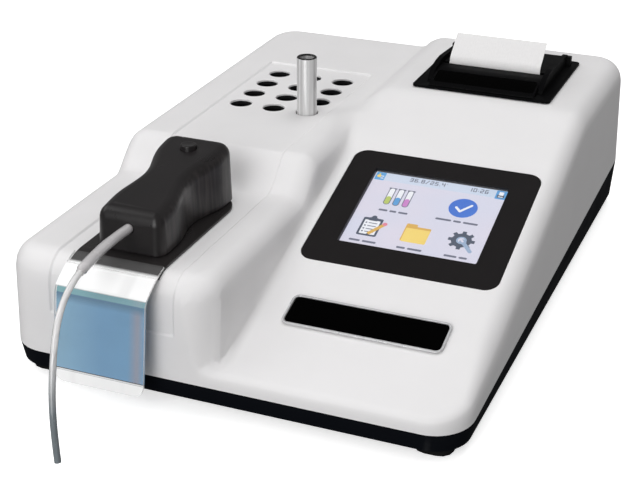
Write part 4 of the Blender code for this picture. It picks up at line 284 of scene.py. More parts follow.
def translucent_tubing(name, low_colour, high_colour, low, high, rough):
    """Flexible tubing: a tone that drifts along its height, darker low down as painted shade, darker outlines of
    painted shade, and long dark streaks of painted reflection.
    """
    material, tree = new_material(name, high_colour, rough, coat=0.7, coat_roughness=0.06)
    # Painted shade: the tone darkens towards the tubing's lower end.
    drift = blended(tree, along_body(tree, low, high), low_colour, high_colour)
    # Painted shade: darker towards the outlines as seen.
    tone = outlined(tree, drift, scaled(low_colour, 0.25), 0.35, 0.25, 0.85)
    # Painted reflection: long dark streaks along the tubing.
    streaks = ranged(tree, noise(tree, 0.0012, 3, (1, 12, 12)), 0, 0.35)
    wire(tree, {"Base Color": blended(tree, streaks, tone, scaled(low_colour, 0.5)),
                "Roughness": ranged(tree, noise(tree, 0.004, 4), rough * 0.7, rough * 1.4),
                "Normal": relief(tree, noise(tree, 0.002, 3), RIPPLE_DEPTH)})
    return material


def painted_tube_glass():
    """Tube glass with its look painted in: a pale tone for the light seen through it, streaks of painted
    reflection along it and darker outlines of painted shade.
    """
    # A pale, nearly opaque tone painted for the light seen through the clear glass.
    material, tree = new_material("tube_glass", (0.62, 0.62, 0.62), 0.10, alpha=0.86, ior=1.47, coat=0.6,
                                  coat_roughness=0.04)
    # Painted reflection: streaks along the tube.
    streaks = ranged(tree, noise(tree, STREAK_SIZE, 3, (1, 1, 60)), 0, 1, 0.35, 0.62)
    tone = blended(tree, streaks, (0.50, 0.49, 0.495), (0.77, 0.77, 0.77))
    # Painted shade towards the outlines.
    wire(tree, {"Base Color": outlined(tree, tone, (0.10, 0.10, 0.10), 0.3, 0.62, 0.9),
                "Normal": relief(tree, noise(tree, 0.004, 2, (1, 1, 8)), 0.00002)})
    return material


# Driving dimensions of the body, as in the part's source
BODY_WIDTH = 0.252
BODY_DEPTH = 0.364
CORNER_RADIUS = 0.021
WALL = 0.003
PARTING_FRONT = 0.0099
PARTING_BACK = 0.0252
LOBE_HEIGHT = 0.0655
DECK_HEIGHT = 0.0828
PRINTER_DECK_HEIGHT = 0.091
CONSOLE_FRONT_HEIGHT = 0.0177964918
STEP_OFFSET = 0.1175
STEP_LENGTH = 0.026
CREASE_OFFSET = 0.120
CREASE_SOFTNESS = 0.005
DIVIDE_OFFSET = 0.057
DIVIDE_SHIFT = -0.006
DIVIDE_SHIFT_START = 0.0235
DIVIDE_SHIFT_LENGTH = 0.050
SHOULDER_RADIUS = 0.012
VALLEY_RADIUS = 0.006
LOBE_CORNER_RADIUS = 0.020
LOBE_FILLET = 0.016
CONSOLE_FILLET = 0.006
SIDE_FILLET = 0.012
BACK_FILLET = 0.009
MODULE_OFFSET = 0.065

# Edges and main places of the body, worked out from its driving dimensions
FRONT_Y = -BODY_DEPTH / 2
BACK_Y = BODY_DEPTH / 2
LEFT_X = -BODY_WIDTH / 2
RIGHT_X = BODY_WIDTH / 2
STEP_FRONT_Y = FRONT_Y + STEP_OFFSET
STEP_BACK_Y = STEP_FRONT_Y + STEP_LENGTH
CREASE_Y = BACK_Y - CREASE_OFFSET
CONSOLE_RUN = CREASE_Y - FRONT_Y
MODULE_X = LEFT_X + MODULE_OFFSET
DIVIDE_X = MODULE_X + DIVIDE_OFFSET
DIVIDE_SHIFT_FRONT_Y = STEP_BACK_Y + DIVIDE_SHIFT_START
DIVIDE_SHIFT_BACK_Y = DIVIDE_SHIFT_FRONT_Y + DIVIDE_SHIFT_LENGTH

# Angles
DRAFT_SLOPE = math.tan(math.radians(1.5))
CONSOLE_ANGLE = math.atan2(PRINTER_DECK_HEIGHT - CONSOLE_FRONT_HEIGHT, CONSOLE_RUN)
LEDGE_SLOPE = math.tan(math.radians(4))

# Clearances
GAP = 0.0003
OVERRUN = 0.002

# Wells and the tube that stands in one of them
WELL_RADIUS = 0.00675
WELL_PITCH_X = 0.0219
WELL_PITCH_Y = 0.0200
WELL_COLUMNS = 3
WELL_ROWS_COUNT = 4
WELLS_OFFSET = 0.0642
WELL_FRONT_Y = STEP_BACK_Y + WELLS_OFFSET
TUBE_RADIUS = 0.006
TUBE_WALL = 0.001
TUBE_LENGTH = 0.075
TUBE_RISE = 0.034

# Channel that runs down the left side
CHANNEL_HALF_WIDTH = 0.0353
CHANNEL_DEPTH = 0.001
CHANNEL_SOFTNESS = 0.0016
CHANNEL_BACK_MARGIN = 0.0183
CHANNEL_BOTTOM_Z = 0.035
CHANNEL_BACK_Y = WELL_FRONT_Y + WELL_PITCH_Y * (WELL_ROWS_COUNT - 1) + CHANNEL_BACK_MARGIN

# Sipper module
COVER_SHIFT = 0.001
COVER_X = MODULE_X + COVER_SHIFT
MODULE_FRONT_OFFSET = 0.0209
MODULE_LENGTH = 0.0866
MODULE_FRONT_Y = FRONT_Y + MODULE_FRONT_OFFSET
MODULE_BACK_Y = MODULE_FRONT_Y + MODULE_LENGTH
MODULE_HALF_WIDTH = 0.0194
MODULE_BACK_SPREAD = 0.0013
MODULE_WAIST = 0.0045
MODULE_WAIST_OFFSET = 0.0437
MODULE_WAIST_Y = MODULE_FRONT_Y + MODULE_WAIST_OFFSET
MODULE_WAIST_REACH = 0.029
MODULE_BACK_TOP = 0.100
MODULE_FRONT_TOP = 0.088
MODULE_FILLET = 0.0066
MODULE_DRAFT = 0.0008
MODULE_FRONT_CORNER = 0.0061
MODULE_BACK_CORNER = 0.0086
MODULE_WALL = 0.002
PLATE_HALF_WIDTH = 0.0255
PLATE_THICKNESS = 0.0012
PLATE_CORNER = 0.0195
PLATE_BACK_Y = MODULE_BACK_Y + GAP
PLATE_FRONT_OFFSET = 0.019
PLATE_FLAT_FRONT_Y = FRONT_Y + PLATE_FRONT_OFFSET
PLATE_BEND_RADIUS = 0.030
PLATE_BEND = math.radians(24.4)
BUTTON_RADIUS = 0.0044
BUTTON_OFFSET = 0.0165
BUTTON_Y = MODULE_BACK_Y - BUTTON_OFFSET
BUTTON_PROUD = 0.0025

# Splash shield
SHIELD_THICKNESS = 0.0012
SHIELD_LAP = 0.007
SHIELD_RUN_RADIUS = 0.0663
SHIELD_RUN_LEAN = math.radians(36)
SHIELD_BEND_RADIUS = 0.007
SHIELD_LEAN = math.radians(82.2)
SHIELD_DROP = 0.046696
SHIELD_CORNER = 0.006
TINT_THICKNESS = 0.0008
TINT_BOTTOM_CLEAR = 0.0070

# Optics under the module
OPTICS_OFFSET = 0.0431
OPTICS_Y = MODULE_FRONT_Y + OPTICS_OFFSET
CARRIER_HALF = 0.0143

# Display and nameplate, measured along the sloping console
DISPLAY_MARGIN = 0.0116
DISPLAY_DIVIDE_GAP = 0.0076
DISPLAY_WIDTH = RIGHT_X - DISPLAY_MARGIN - DIVIDE_X - DISPLAY_DIVIDE_GAP
DISPLAY_LENGTH = 0.0979
DISPLAY_CORNER = 0.008
DISPLAY_PLACE_SHARE = 0.5622950820
DISPLAY_X = RIGHT_X - DISPLAY_MARGIN - DISPLAY_WIDTH / 2
DISPLAY_Y = FRONT_Y + CONSOLE_RUN * DISPLAY_PLACE_SHARE
DISPLAY_DEPTH = 0.003
SCREEN_SIDE_BORDER = 0.0161
SCREEN_WIDTH = DISPLAY_WIDTH - 2 * SCREEN_SIDE_BORDER
SCREEN_LENGTH = 0.0648
SCREEN_SHIFT = 0.0015
NAMEPLATE_SIDE_INSET = 0.0119
NAMEPLATE_WIDTH = DISPLAY_WIDTH - 2 * NAMEPLATE_SIDE_INSET
NAMEPLATE_LENGTH = 0.0219
NAMEPLATE_CORNER = 0.004
NAMEPLATE_SHIFT = -0.0012
NAMEPLATE_PLACE_SHARE = 0.2139344262
NAMEPLATE_X = DISPLAY_X + NAMEPLATE_SHIFT
NAMEPLATE_Y = FRONT_Y + CONSOLE_RUN * NAMEPLATE_PLACE_SHARE
NAMEPLATE_THICKNESS = 0.0012
NAMEPLATE_RIM = 0.0012

# Printer
PRINTER_SHIFT = -0.0030
PRINTER_SIDE_INSET = 0.01215
PRINTER_WIDTH = DISPLAY_WIDTH - 2 * PRINTER_SIDE_INSET
PRINTER_LENGTH = 0.0825
PRINTER_OFFSET = 0.0075
PRINTER_X = DISPLAY_X + PRINTER_SHIFT
PRINTER_FRONT_Y = CREASE_Y + PRINTER_OFFSET
PRINTER_BACK_Y = PRINTER_FRONT_Y + PRINTER_LENGTH
PRINTER_CORNER = 0.003
PRINTER_FLANGE = 0.0015
PRINTER_WALL = 0.0032
TUB_SIDE_MARGIN = 0.00685
TUB_END_MARGIN = 0.0035
CHEEK_WIDTH = 0.0032
CHEEK_FRONT_OFFSET = 0.0105
CHEEK_ARCH_LENGTH = 0.024
CHEEK_BACK_MARGIN = 0.0075
SLOT_OFFSET = 0.032
CHEEK_FRONT_Y = PRINTER_FRONT_Y + CHEEK_FRONT_OFFSET
CHEEK_PEAK_Y = CHEEK_FRONT_Y + CHEEK_ARCH_LENGTH
CHEEK_BACK_Y = PRINTER_BACK_Y - CHEEK_BACK_MARGIN
SLOT_Y = PRINTER_FRONT_Y + SLOT_OFFSET
PAPER_SIDE_CLEAR = 0.01425
PAPER_WIDTH = PRINTER_WIDTH - 2 * PAPER_SIDE_CLEAR
PAPER_THICKNESS = 0.00025
FLANGE_TOP = PRINTER_DECK_HEIGHT + PRINTER_FLANGE
PRINTER_PLACE = Matrix.Translation((PRINTER_X, (PRINTER_FRONT_Y + PRINTER_BACK_Y) / 2, 0))

# Rear panel
REAR_PANEL_WIDTH = 0.190
REAR_PANEL_HEIGHT = 0.044
REAR_PANEL_X = 0.004
REAR_PANEL_Z = 0.049

# Fineness of the visual model
CORNER_STEPS = 12
FILLET_STEPS = 9
SHEET_ROWS = 16
ROUND_SIDES = 64
COARSE_STEP = 0.006


def quarter(steps):
    """1 - cos and 1 - sin over a quarter turn."""
    angles = [math.radians(90) * step / steps for step in range(steps + 1)]
    return [(1 - math.cos(angle), 1 - math.sin(angle)) for angle in angles]


FILLET_SHARES = [out for out, _ in quarter(FILLET_STEPS)]


def smooth_share(value):
    """0 below 0, 1 above 1 and a smooth ramp between."""
    value = min(max(value, 0), 1)
    return value * value * (3 - 2 * value)


def parting_height(y):
    """Height of the line where the housing meets the pan; it climbs to the back."""
    share = (y - FRONT_Y) / BODY_DEPTH
    return PARTING_FRONT + (PARTING_BACK - PARTING_FRONT) * share


def left_height(y):
    """Lobe, S-shaped step and deck."""
    share = smooth_share((y - STEP_FRONT_Y) / (STEP_BACK_Y - STEP_FRONT_Y))
    return LOBE_HEIGHT + (DECK_HEIGHT - LOBE_HEIGHT) * share


def console_plane(y):
    """Height of the sloping console's flat part."""
    return PRINTER_DECK_HEIGHT - math.tan(CONSOLE_ANGLE) * (CREASE_Y - y)


def right_height(y):
    """Console slope that eases into the printer deck at the crease."""
    ahead = CREASE_Y - y
    eased = (ahead + math.hypot(ahead, CREASE_SOFTNESS)) / 2
    return PRINTER_DECK_HEIGHT - math.tan(CONSOLE_ANGLE) * eased


def divide_shift(y):
    """How far the divide between left side and console has moved to the left."""
    share = (y - DIVIDE_SHIFT_FRONT_Y) / (DIVIDE_SHIFT_BACK_Y - DIVIDE_SHIFT_FRONT_Y)
    return DIVIDE_SHIFT * smooth_share(share)


def ledge_at(x, y):
    """Signed distance past the left side's right-hand edge, and the fillet radius there."""
    across = x - (DIVIDE_X - LOBE_CORNER_RADIUS)
    ahead = FRONT_Y + LOBE_CORNER_RADIUS - y
    if across > 0 and ahead > 0:
        reach = math.hypot(across, ahead)
        radius = SHOULDER_RADIUS + (LOBE_FILLET - SHOULDER_RADIUS) * (ahead / reach) ** 2
        return reach - LOBE_CORNER_RADIUS, radius
    return x - DIVIDE_X - divide_shift(y), SHOULDER_RADIUS


def ledge_drop(depth, past, convex, concave):
    """Drop of a ledge: rounded edge, nearly upright wall, hollow fillet; a low ledge is a soft ramp."""
    width = convex + concave
    if depth < width:
        ramp = depth * smooth_share((past + convex) / width)
        share = depth / width
        return ramp + (ledge_drop(width, past, convex, concave) * share - ramp) * share
    wall = (depth - width) * LEDGE_SLOPE
    if past <= -convex:
        return 0
    if past < 0:
        return convex - math.sqrt(convex ** 2 - (convex + past) ** 2)
    if past < wall:
        return convex + past / LEDGE_SLOPE
    if past < wall + concave:
        return depth - concave + math.sqrt(concave ** 2 - (wall + concave - past) ** 2)
    return depth


def top_height(x, y, inset=0):
    """Top of the housing over a plan point; inset moves it inwards by a wall."""
    left, right = left_height(y), right_height(y)
    past, radius = ledge_at(x, y)
    convex, concave = radius - inset, VALLEY_RADIUS + inset
    if left >= right:
        return left - ledge_drop(left - right, past + inset, convex, concave) - inset
    return right - ledge_drop(right - left, inset - past, convex, concave) - inset


def channel_share(x, y, z):
    """1 inside the shallow channel, 0 outside it, with soft edges."""
    share = 1
    for inside in (CHANNEL_HALF_WIDTH - abs(x - MODULE_X), CHANNEL_BACK_Y - y, z - CHANNEL_BOTTOM_Z):
        share *= smooth_share(1 / 2 + inside / CHANNEL_SOFTNESS)
    return share


def edge_fillet(x, y, normal):
    """Fillet radius along the plan outline, and how far in the fillet is sampled."""
    past, _ = ledge_at(x, y)
    side = SIDE_FILLET * normal.x ** 2
    if normal.y > 0:
        back = side + BACK_FILLET * normal.y ** 2
        return back, back
    if x <= DIVIDE_X - LOBE_CORNER_RADIUS:
        front = side + LOBE_FILLET * normal.y ** 2
        return front, front
    share = smooth_share(past / VALLEY_RADIUS)
    sampled = side + (LOBE_FILLET + (CONSOLE_FILLET - LOBE_FILLET) * share) * normal.y ** 2
    return side + CONSOLE_FILLET * share * normal.y ** 2, sampled


def rounded_outline(width, depth, radius, steps=CORNER_STEPS):
    """Points of a rounded rectangle, anticlockwise."""
    points = []
    for turn, (side_x, side_y) in enumerate(((1, 1), (-1, 1), (-1, -1), (1, -1))):
        for step in range(steps + 1):
            angle = math.radians(90) * (turn + step / steps)
            points.append((side_x * (width / 2 - radius) + radius * math.cos(angle),
                           side_y * (depth / 2 - radius) + radius * math.sin(angle)))
    return points


def bent_on(path, radius, lean):
    """A side profile carried on over an arc until it leans this much."""
    y, z, start = path[-1]
    tilts = [start + (lean - start) * step / SHEET_ROWS for step in range(1, SHEET_ROWS + 1)]
    return path + [(y - radius * (math.sin(tilt) - math.sin(start)),
                    z - radius * (math.cos(start) - math.cos(tilt)), tilt) for tilt in tilts]


def shield_path():
    """Side profiles of plate front and shield: (y, z, tilt) along the lower face of each."""
    floor = LOBE_HEIGHT - CHANNEL_DEPTH + GAP
    plate = bent_on([(PLATE_FLAT_FRONT_Y, floor, 0)], PLATE_BEND_RADIUS, PLATE_BEND)
    reach = PLATE_BEND_RADIUS + PLATE_THICKNESS + GAP
    lap = SHIELD_LAP / reach
    shield = [(PLATE_FLAT_FRONT_Y - reach * math.sin(tilt),
               floor - PLATE_BEND_RADIUS + reach * math.cos(tilt), tilt)
              for tilt in (PLATE_BEND - lap, PLATE_BEND - lap / 2, PLATE_BEND)]
    shield = bent_on(bent_on(shield, SHIELD_RUN_RADIUS, SHIELD_RUN_LEAN), SHIELD_BEND_RADIUS, SHIELD_LEAN)
    y, z, tilt = shield[-1]
    shield.append((y - SHIELD_DROP * math.cos(tilt), z - SHIELD_DROP * math.sin(tilt), tilt))
    return plate, shield


def shield_finish():
    """Clear sheet: nearly invisible over plate and panel, with a painted highlight at the bend and along the
    lower edge, grey streaks of painted reflection, side edges painted light and painted shade on faces that look
    down.
    """
    path = shield_path()[1]
    bend_z, lap_z, (_, end_z, end_tilt) = path[-SHEET_ROWS - 2][1], path[2][1], path[-1]
    margin_z = end_z + TINT_BOTTOM_CLEAR * math.sin(end_tilt)
    material, tree = new_material("clear_plastic", (0.95, 0.95, 0.95), 0.10, ior=1.49)
    # Painted highlight over the bend.
    bend_highlight = combined(tree, "MULTIPLY", along_body(tree, bend_z - BAND_FADE, bend_z),
                    along_body(tree, lap_z + BAND_FADE, lap_z))
    # Painted highlight along the lower edge.
    margin = along_body(tree, margin_z, margin_z - MARGIN_FADE)
    # Painted reflection: grey streaks that break up the painted highlight at the bend.
    streaks = ranged(tree, noise(tree, BAND_STREAK_SIZE, 1, (1, 30, 30)), 1, 0.84, 0.54, 0.68)
    # The sheet turns more opaque where light is painted: over the bend, along the lower edge and on the side
    # edges, which are painted light.
    alpha = PLAIN_ALPHA
    for cover, share in ((combined(tree, "MULTIPLY", streaks, bend_highlight), BAND_ALPHA), (margin, MARGIN_ALPHA),
                         (sideways(tree, 0.7), EDGE_ALPHA)):
        alpha = combined(tree, "MAXIMUM", combined(tree, "MULTIPLY", cover, share), alpha)
    tone = blended(tree, streaks, (0.45, 0.44, 0.46), (0.95, 0.95, 0.95))
    # Painted shade on faces that look down.
    under = ranged(tree, part_of(tree, "Normal", "Z"), 1, 0, -0.8, -0.5)
    # Painted glow over the bend and along the lower edge, though the sheet is no lamp.
    glare = combined(tree, "MULTIPLY", combined(tree, "ADD", bend_highlight, margin), BAND_GLARE)
    wire(tree, {"Alpha": alpha, "Base Color": blended(tree, under, tone, (0.10, 0.10, 0.10)),
                "Emission Color": (1, 1, 1), "Emission Strength": glare,
                "Roughness": smears(tree, 0.06, 0.16, 5),
                "Normal": relief(tree, noise(tree, CLOUD_SIZE / 3), RIPPLE_DEPTH)})
    return material


def tint_finish(name, left, middle, right, top, top_z, reach):
    """Blue panel: a drift of tone from side to side, and another tone towards its top."""
    material, tree = new_material(name, middle, 0.16, alpha=0.97, ior=1.49)
    half = PLATE_HALF_WIDTH
    tone = blended(tree, along_body(tree, MODULE_X - half, MODULE_X, "X"), left, middle)
    sides = [along_body(tree, MODULE_X + half * start, MODULE_X + half * end, "X")
             for start, end in TINT_STREAK_SHARES]
    tone = blended(tree, combined(tree, "MULTIPLY", *sides), tone, right)
    tone = blended(tree, along_body(tree, top_z - reach, top_z), tone, top)
    cloud = ranged(tree, noise(tree, CLOUD_SIZE / 2, 3), 0.94, 1)
    wire(tree, {"Base Color": blended(tree, 1, tone, cloud, blend_type="MULTIPLY"),
                "Roughness": smears(tree, 0.12, 0.24, 5, 4)})
    return material


# Shield: painted highlight at the bend and the lower edge, side edges painted light, and a faint painted glow
BAND_STREAK_SIZE = 0.011
BAND_FADE = 0.0007
MARGIN_FADE = 0.0006
BAND_ALPHA = 0.88
MARGIN_ALPHA = 0.80
EDGE_ALPHA = 0.75
PLAIN_ALPHA = 0.035
BAND_GLARE = 0.12
TINT_STREAK_SHARES = ((0.62, 0.80), (0.99, 0.84))
BEND_START_Z, BEND_END_Z = [shield_path()[1][row][1] for row in (-SHEET_ROWS - 2, -2)]
FINISHES = {
    "housing": moulded("housing_white", (0.79, 0.78, 0.785), 0.42, vary=0.012, wear=0.1, specular=0.35),
    "pan": moulded("pan_black", (0.0042, 0.0050, 0.0070), 0.60, specular=0.01),
    "printer": moulded("printer_black", (0.0030, 0.0030, 0.0033), 0.45, wear=0.2, specular=0.02),
    "gloss": moulded("gloss_black", (0.0009, 0.0009, 0.0009), 0.22, depth=0.000001, wear=0.05, specular=0.005),
    "rubber": moulded("rubber_black", (0.009, 0.009, 0.009), 0.80, 0.0008, 0.00002, wear=0.2, specular=0.03),
    "plate": moulded("plate_dark", (0.020, 0.018, 0.018), 0.30, specular=0.25),
    "grey": moulded("part_grey", (0.22, 0.22, 0.24), 0.50),
    "bezel": moulded("bezel_black", (0.0125, 0.0112, 0.0116), 0.34, FINE_GRAIN_SIZE, 0.000002, wear=0.1,
                     specular=0.10),
    # Black of the incubator block and the well collars; on the collars it is painted shade in the wells.
    "well_black": moulded("well_black_finish", (0.006, 0.006, 0.0065), 0.42, FINE_GRAIN_SIZE, specular=0.03),
    "bright": brushed("bright_metal", (0.80, 0.80, 0.81), 0.22, (20, 1, 1)),
    "silver": moulded("badge_silver", (0.62, 0.62, 0.63), 0.30, vary=0.04, wear=0.1, metallic=0.35),
    "aluminium": brushed("brushed_aluminium", (0.62, 0.63, 0.64), 0.36, (20, 1, 1)),
    "steel": brushed("steel", (0.48, 0.48, 0.50), 0.32, (1, 20, 1)),
    "board": boarded("board_green", (0.02, 0.13, 0.06)),
    "heater": moulded("heater_amber", (0.50, 0.24, 0.05), 0.40, vary=0.15),
    "paper": papered("paper_white", (0.80, 0.79, 0.79)),
    "tube": moulded("tube_grey", (0.50, 0.50, 0.51), 0.24, 0.0020, 0.00001, vary=0.10, wear=0, coat=0.5,
                    coat_roughness=0.08),
    "glass": clear("clear_glass", (0.97, 0.98, 0.98), 0.015, transmission=1, ior=1.47),
    "pane": clear("screen_glass", (0.9, 0.9, 0.92), 0.05, alpha=0.04, ior=1.5),
    # Painted shade: dark top of the test tube's rim.
    "rim": clear("glass_rim_shade", (0.006, 0.006, 0.006), 0.05, ior=1.47, specular=0.2),
    "tube_glass": painted_tube_glass(),
    "cover": streaked_cover(),
    "sleeve": translucent_tubing("sleeve_grey", (0.58, 0.56, 0.57), (0.66, 0.64, 0.65), 0.065, 0.080, 0.22),
    "line": translucent_tubing("line_grey", (0.20, 0.23, 0.25), (0.92, 0.91, 0.91), 0.026, 0.056, 0.20),
    "shield": shield_finish(),
    "tint": tint_finish("tint_blue", (0.26, 0.46, 0.62), (0.18, 0.38, 0.60), (0.31, 0.35, 0.44),
                        (0.12, 0.25, 0.38), BEND_END_Z, 0.004),
    "teal": tint_finish("tint_teal", (0.22, 0.46, 0.50), (0.20, 0.42, 0.48), (0.26, 0.42, 0.48),
                        (0.40, 0.66, 0.70), BEND_START_Z, 0.0012),
    "plain_screen": glowing("screen_glow", (0.62, 0.64, 0.84), (0.70, 0.68, 0.82), 0.9),
}


# Mesh helpers

def closed(bm):
    """Points every face of a closed mesh outwards."""
    bmesh.ops.recalc_face_normals(bm, faces=bm.faces)
    return bm


def stacked(rings):
    """A closed solid through rings of points, capped at its first and last ring."""
    bm = bmesh.new()
    loops = [[bm.verts.new(point) for point in ring] for ring in rings]
    for lower, upper in zip(loops, loops[1:]):
        for index in range(len(lower)):
            bm.faces.new((lower[index - 1], lower[index], upper[index], upper[index - 1]))
    bm.faces.new(loops[0])
    bm.faces.new(loops[-1])
    return closed(bm)


def prism(outline, low, high, place=None):
    """An outline in a frame's XY plane, drawn out between two heights."""
    bm = stacked([[(x, y, height) for x, y in outline] for height in (low, high)])
    if place:
        bm.transform(place)
    return bm


def block(low, high):
    """A box between two corners."""
    return prism([(low[0], low[1]), (high[0], low[1]), (high[0], high[1]), (low[0], high[1])], low[2], high[2])


def across(profile, half, middle):
    """A side profile of (y, z) points drawn out along X, half to each side of a middle."""
    return stacked([[(x, y, z) for y, z in profile] for x in (middle - half, middle + half)])


def sheet(middle, rows, thickness):
    """A closed sheet of even thickness above rows of (half width, y, z, tilt)."""
    corners = ((-1, 0), (1, 0), (1, thickness), (-1, thickness))
    return stacked([[(middle + side * half, y - lift * math.sin(tilt), z + lift * math.cos(tilt))
                     for side, lift in corners] for half, y, z, tilt in rows])


def turned(profile, centre, axis="Z"):
    """A solid turned about an axis through centre, from (radius, height) points in order."""
    bm = bmesh.new()
    angles = [2 * math.pi * (side + 1 / 2) / ROUND_SIDES for side in range(ROUND_SIDES)]
    rings = [[bm.verts.new((radius * math.cos(angle), radius * math.sin(angle), height))
              for angle in (angles if radius else angles[:1])] for radius, height in profile]
    pairs = list(zip(rings, rings[1:]))
    if profile[0][0] and profile[-1][0]:
        pairs.append((rings[-1], rings[0]))
    for first, second in pairs:
        for side in range(ROUND_SIDES):
            corners = [first[(side - 1) % len(first)], first[side % len(first)],
                       second[side % len(second)], second[(side - 1) % len(second)]]
            bm.faces.new(list(dict.fromkeys(corners)))
    turn = {"X": Matrix.Rotation(math.radians(90), 4, "Y"), "Y": Matrix.Rotation(math.radians(-90), 4, "X"),
            "Z": Matrix.Identity(4)}[axis]
    bm.transform(Matrix.Translation(centre) @ turn)
    return closed(bm)


def rod(radius, centre, low, high, axis="Z"):
    """A plain cylinder between two heights along its axis."""
    return turned([(0, low), (radius, low), (radius, high), (0, high)], centre, axis)


def merged(shapes):
    """Several separate closed shapes in one mesh."""
    bm = bmesh.new()
    for shape in shapes:
        mesh = bpy.data.meshes.new("shape")
        shape.to_mesh(mesh)
        bm.from_mesh(mesh)
        shape.free()
        bpy.data.meshes.remove(mesh)
    return bm


def console_frame(x, y, lift=0):
    """A frame on the console's slope: X across, Y up the slope, Z out of it."""
    place = Matrix.Translation((x, y, console_plane(y)))
    return place @ Matrix.Rotation(CONSOLE_ANGLE, 4, "X") @ Matrix.Translation((0, 0, lift))


def plain_object(name, bm):
    """An object of this mesh, moved from the body frame into the row frame."""
    bm.transform(Matrix.Translation(ORIGIN))
    mesh = bpy.data.meshes.new(name)
    bm.to_mesh(mesh)
    bm.free()
    thing = bpy.data.objects.new(name, mesh)
    bpy.context.scene.collection.objects.link(thing)
    return thing


def soften(thing, width, segments, angle):
    """A bevel over the sharp edges of an object."""
    edges = thing.modifiers.new("bevel", "BEVEL")
    edges.width = width
    edges.segments = segments
    edges.limit_method = "ANGLE"
    edges.angle_limit = math.radians(angle)


def dress(thing, finish, body, stands_for):
    """Gives a piece its finish and its body, and hides the CAD node it stands for."""
    thing.data.materials.clear()
    thing.data.materials.append(FINISHES[finish])
    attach(thing, body)
    if stands_for:
        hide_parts(stands_for)
    return thing


def add_piece(name, finish, shape, body, stands_for=None, cuts=(), unions=(), bevel=0, sharp=35):
    """One visible piece with its Boolean steps worked out, an optional edge bevel and smooth shading."""
    thing = plain_object(name, shape)
    tools = []
    for operation, shapes in (("UNION", unions), ("DIFFERENCE", cuts)):
        for tool in shapes:
            tools.append(plain_object(f"{name}_tool", tool))
            step = thing.modifiers.new("step", "BOOLEAN")
            step.operation = operation
            step.object = tools[-1]
            step.solver = "EXACT"
    if tools:
        result = bpy.data.meshes.new_from_object(thing.evaluated_get(bpy.context.evaluated_depsgraph_get()))
        thing.modifiers.clear()
        thing.data = result
        for tool in tools:
            bpy.data.objects.remove(tool, do_unlink=True)
    thing.data.shade_smooth()
    thing.data.set_sharp_from_angle(angle=math.radians(sharp))
    if bevel:
        soften(thing, bevel, 3, sharp)
    if bevel or tools:
        thing.modifiers.new("weighted", "WEIGHTED_NORMAL").keep_sharp = True
    return dress(thing, finish, body, stands_for)


# Sipper tube and its sleeve
SLEEVE_RADIUS = 0.0027
SIPPER_RADIUS = 0.0017
SLEEVE_SPANS = 4
SLEEVE_TIP_GAPS = (2, 8)
SLEEVE_TIP_SHARES = (0.82, 0.78)
TUBE_ROUNDNESS = 6
ROUTE_STEPS = 4
SIPPER_ROUTE = (
    (-0.0600, -0.1602, 0.0794), (-0.0602, -0.1700, 0.0797),
    (-0.0604, -0.1810, 0.0796), (-0.0601, -0.1940, 0.0791), (-0.0595, -0.2072, 0.0779),
    (-0.0586, -0.2190, 0.0752), (-0.0575, -0.2290, 0.0705), (-0.0563, -0.2370, 0.0637),
    (-0.0550, -0.2430, 0.0553), (-0.0537, -0.2478, 0.0455), (-0.0525, -0.2518, 0.0350),
    (-0.0513, -0.2545, 0.0240), (-0.0502, -0.2560, 0.0125), (-0.0492, -0.2568, 0.0015),
)


def smooth_route(route, steps):
    """Points on a smooth curve through a route."""
    knots = [Vector(point) for point in route]
    knots = [2 * knots[0] - knots[1]] + knots + [2 * knots[-1] - knots[-2]]
    points = []
    for first, start, end, last in zip(knots, knots[1:], knots[2:], knots[3:]):
        for step in range(steps):
            t = step / steps
            points.append(start + ((end - first) * t + (2 * first - 5 * start + 4 * end - last) * t ** 2
                                   + (3 * start - first - 3 * end + last) * t ** 3) / 2)
    return points + [knots[-2]]


def tube_curve(name, points, radius, finish, node, tip_shares=()):
    """A round tube along points, in place of a CAD node."""
    curve = bpy.data.curves.new(name, "CURVE")
    curve.dimensions = "3D"
    curve.bevel_depth = radius
    curve.bevel_resolution = TUBE_ROUNDNESS
    curve.use_fill_caps = True
    spline = curve.splines.new("POLY")
    spline.points.add(len(points) - 1)
    for target, point in zip(spline.points, points):
        target.co = (*(ORIGIN + point), 1)
    for target, share in zip(spline.points[-len(tip_shares):] if tip_shares else (), tip_shares):
        target.radius = share
    spline.use_smooth = True
    thing = bpy.data.objects.new(name, curve)
    bpy.context.scene.collection.objects.link(thing)
    return dress(thing, finish, "sipper_module", node)


def make_sipper():
    """The free sipper tube, and the sleeve that holds its first stretch."""
    points = smooth_route(SIPPER_ROUTE, ROUTE_STEPS)
    split = ROUTE_STEPS * SLEEVE_SPANS
    ahead = (points[split + 1] - points[split]).normalized()
    tip = [points[split] + ahead * GAP * count for count in SLEEVE_TIP_GAPS]
    sleeve = tube_curve("sipper_tube_sleeve", points[:split + 1] + tip, SLEEVE_RADIUS, "sleeve",
                        "sipper_sleeve", SLEEVE_TIP_SHARES)
    tube = tube_curve("sipper_tube_line", points, SIPPER_RADIUS, "line", "sipper_tube")
    length = sum((after - before).length for before, after in zip(points, points[1:]))


make_sipper()

# Housing and pan
DIVIDE_STEP = 0.0011
RISE_STEP = 0.0015
SHIFT_STEP = 0.0018
HOLLOW_SHARES = (2.4, 3)
CREASE_SHARES = (3, 4)
WELL_RIM = 0.0007
WELL_RIM_STEPS = 5
# Black collars in the wells: painted shade below the white rims.
COLLAR_DROP = 0.0013
COLLAR_THICKNESS = 0.0005
SCREW_INSET_X = 0.016
SCREW_INSET_Y = 0.0355
SCREW_RADIUS = 0.0014
SCREW_HEAD_RADIUS = 0.0030
SCREW_HEAD_HEIGHT = 0.0014
SCREW_LENGTH = 0.011
BOSS_RADIUS = 0.0040
PAN_INSET = 0.0020
SOFT_EDGE = 0.0004


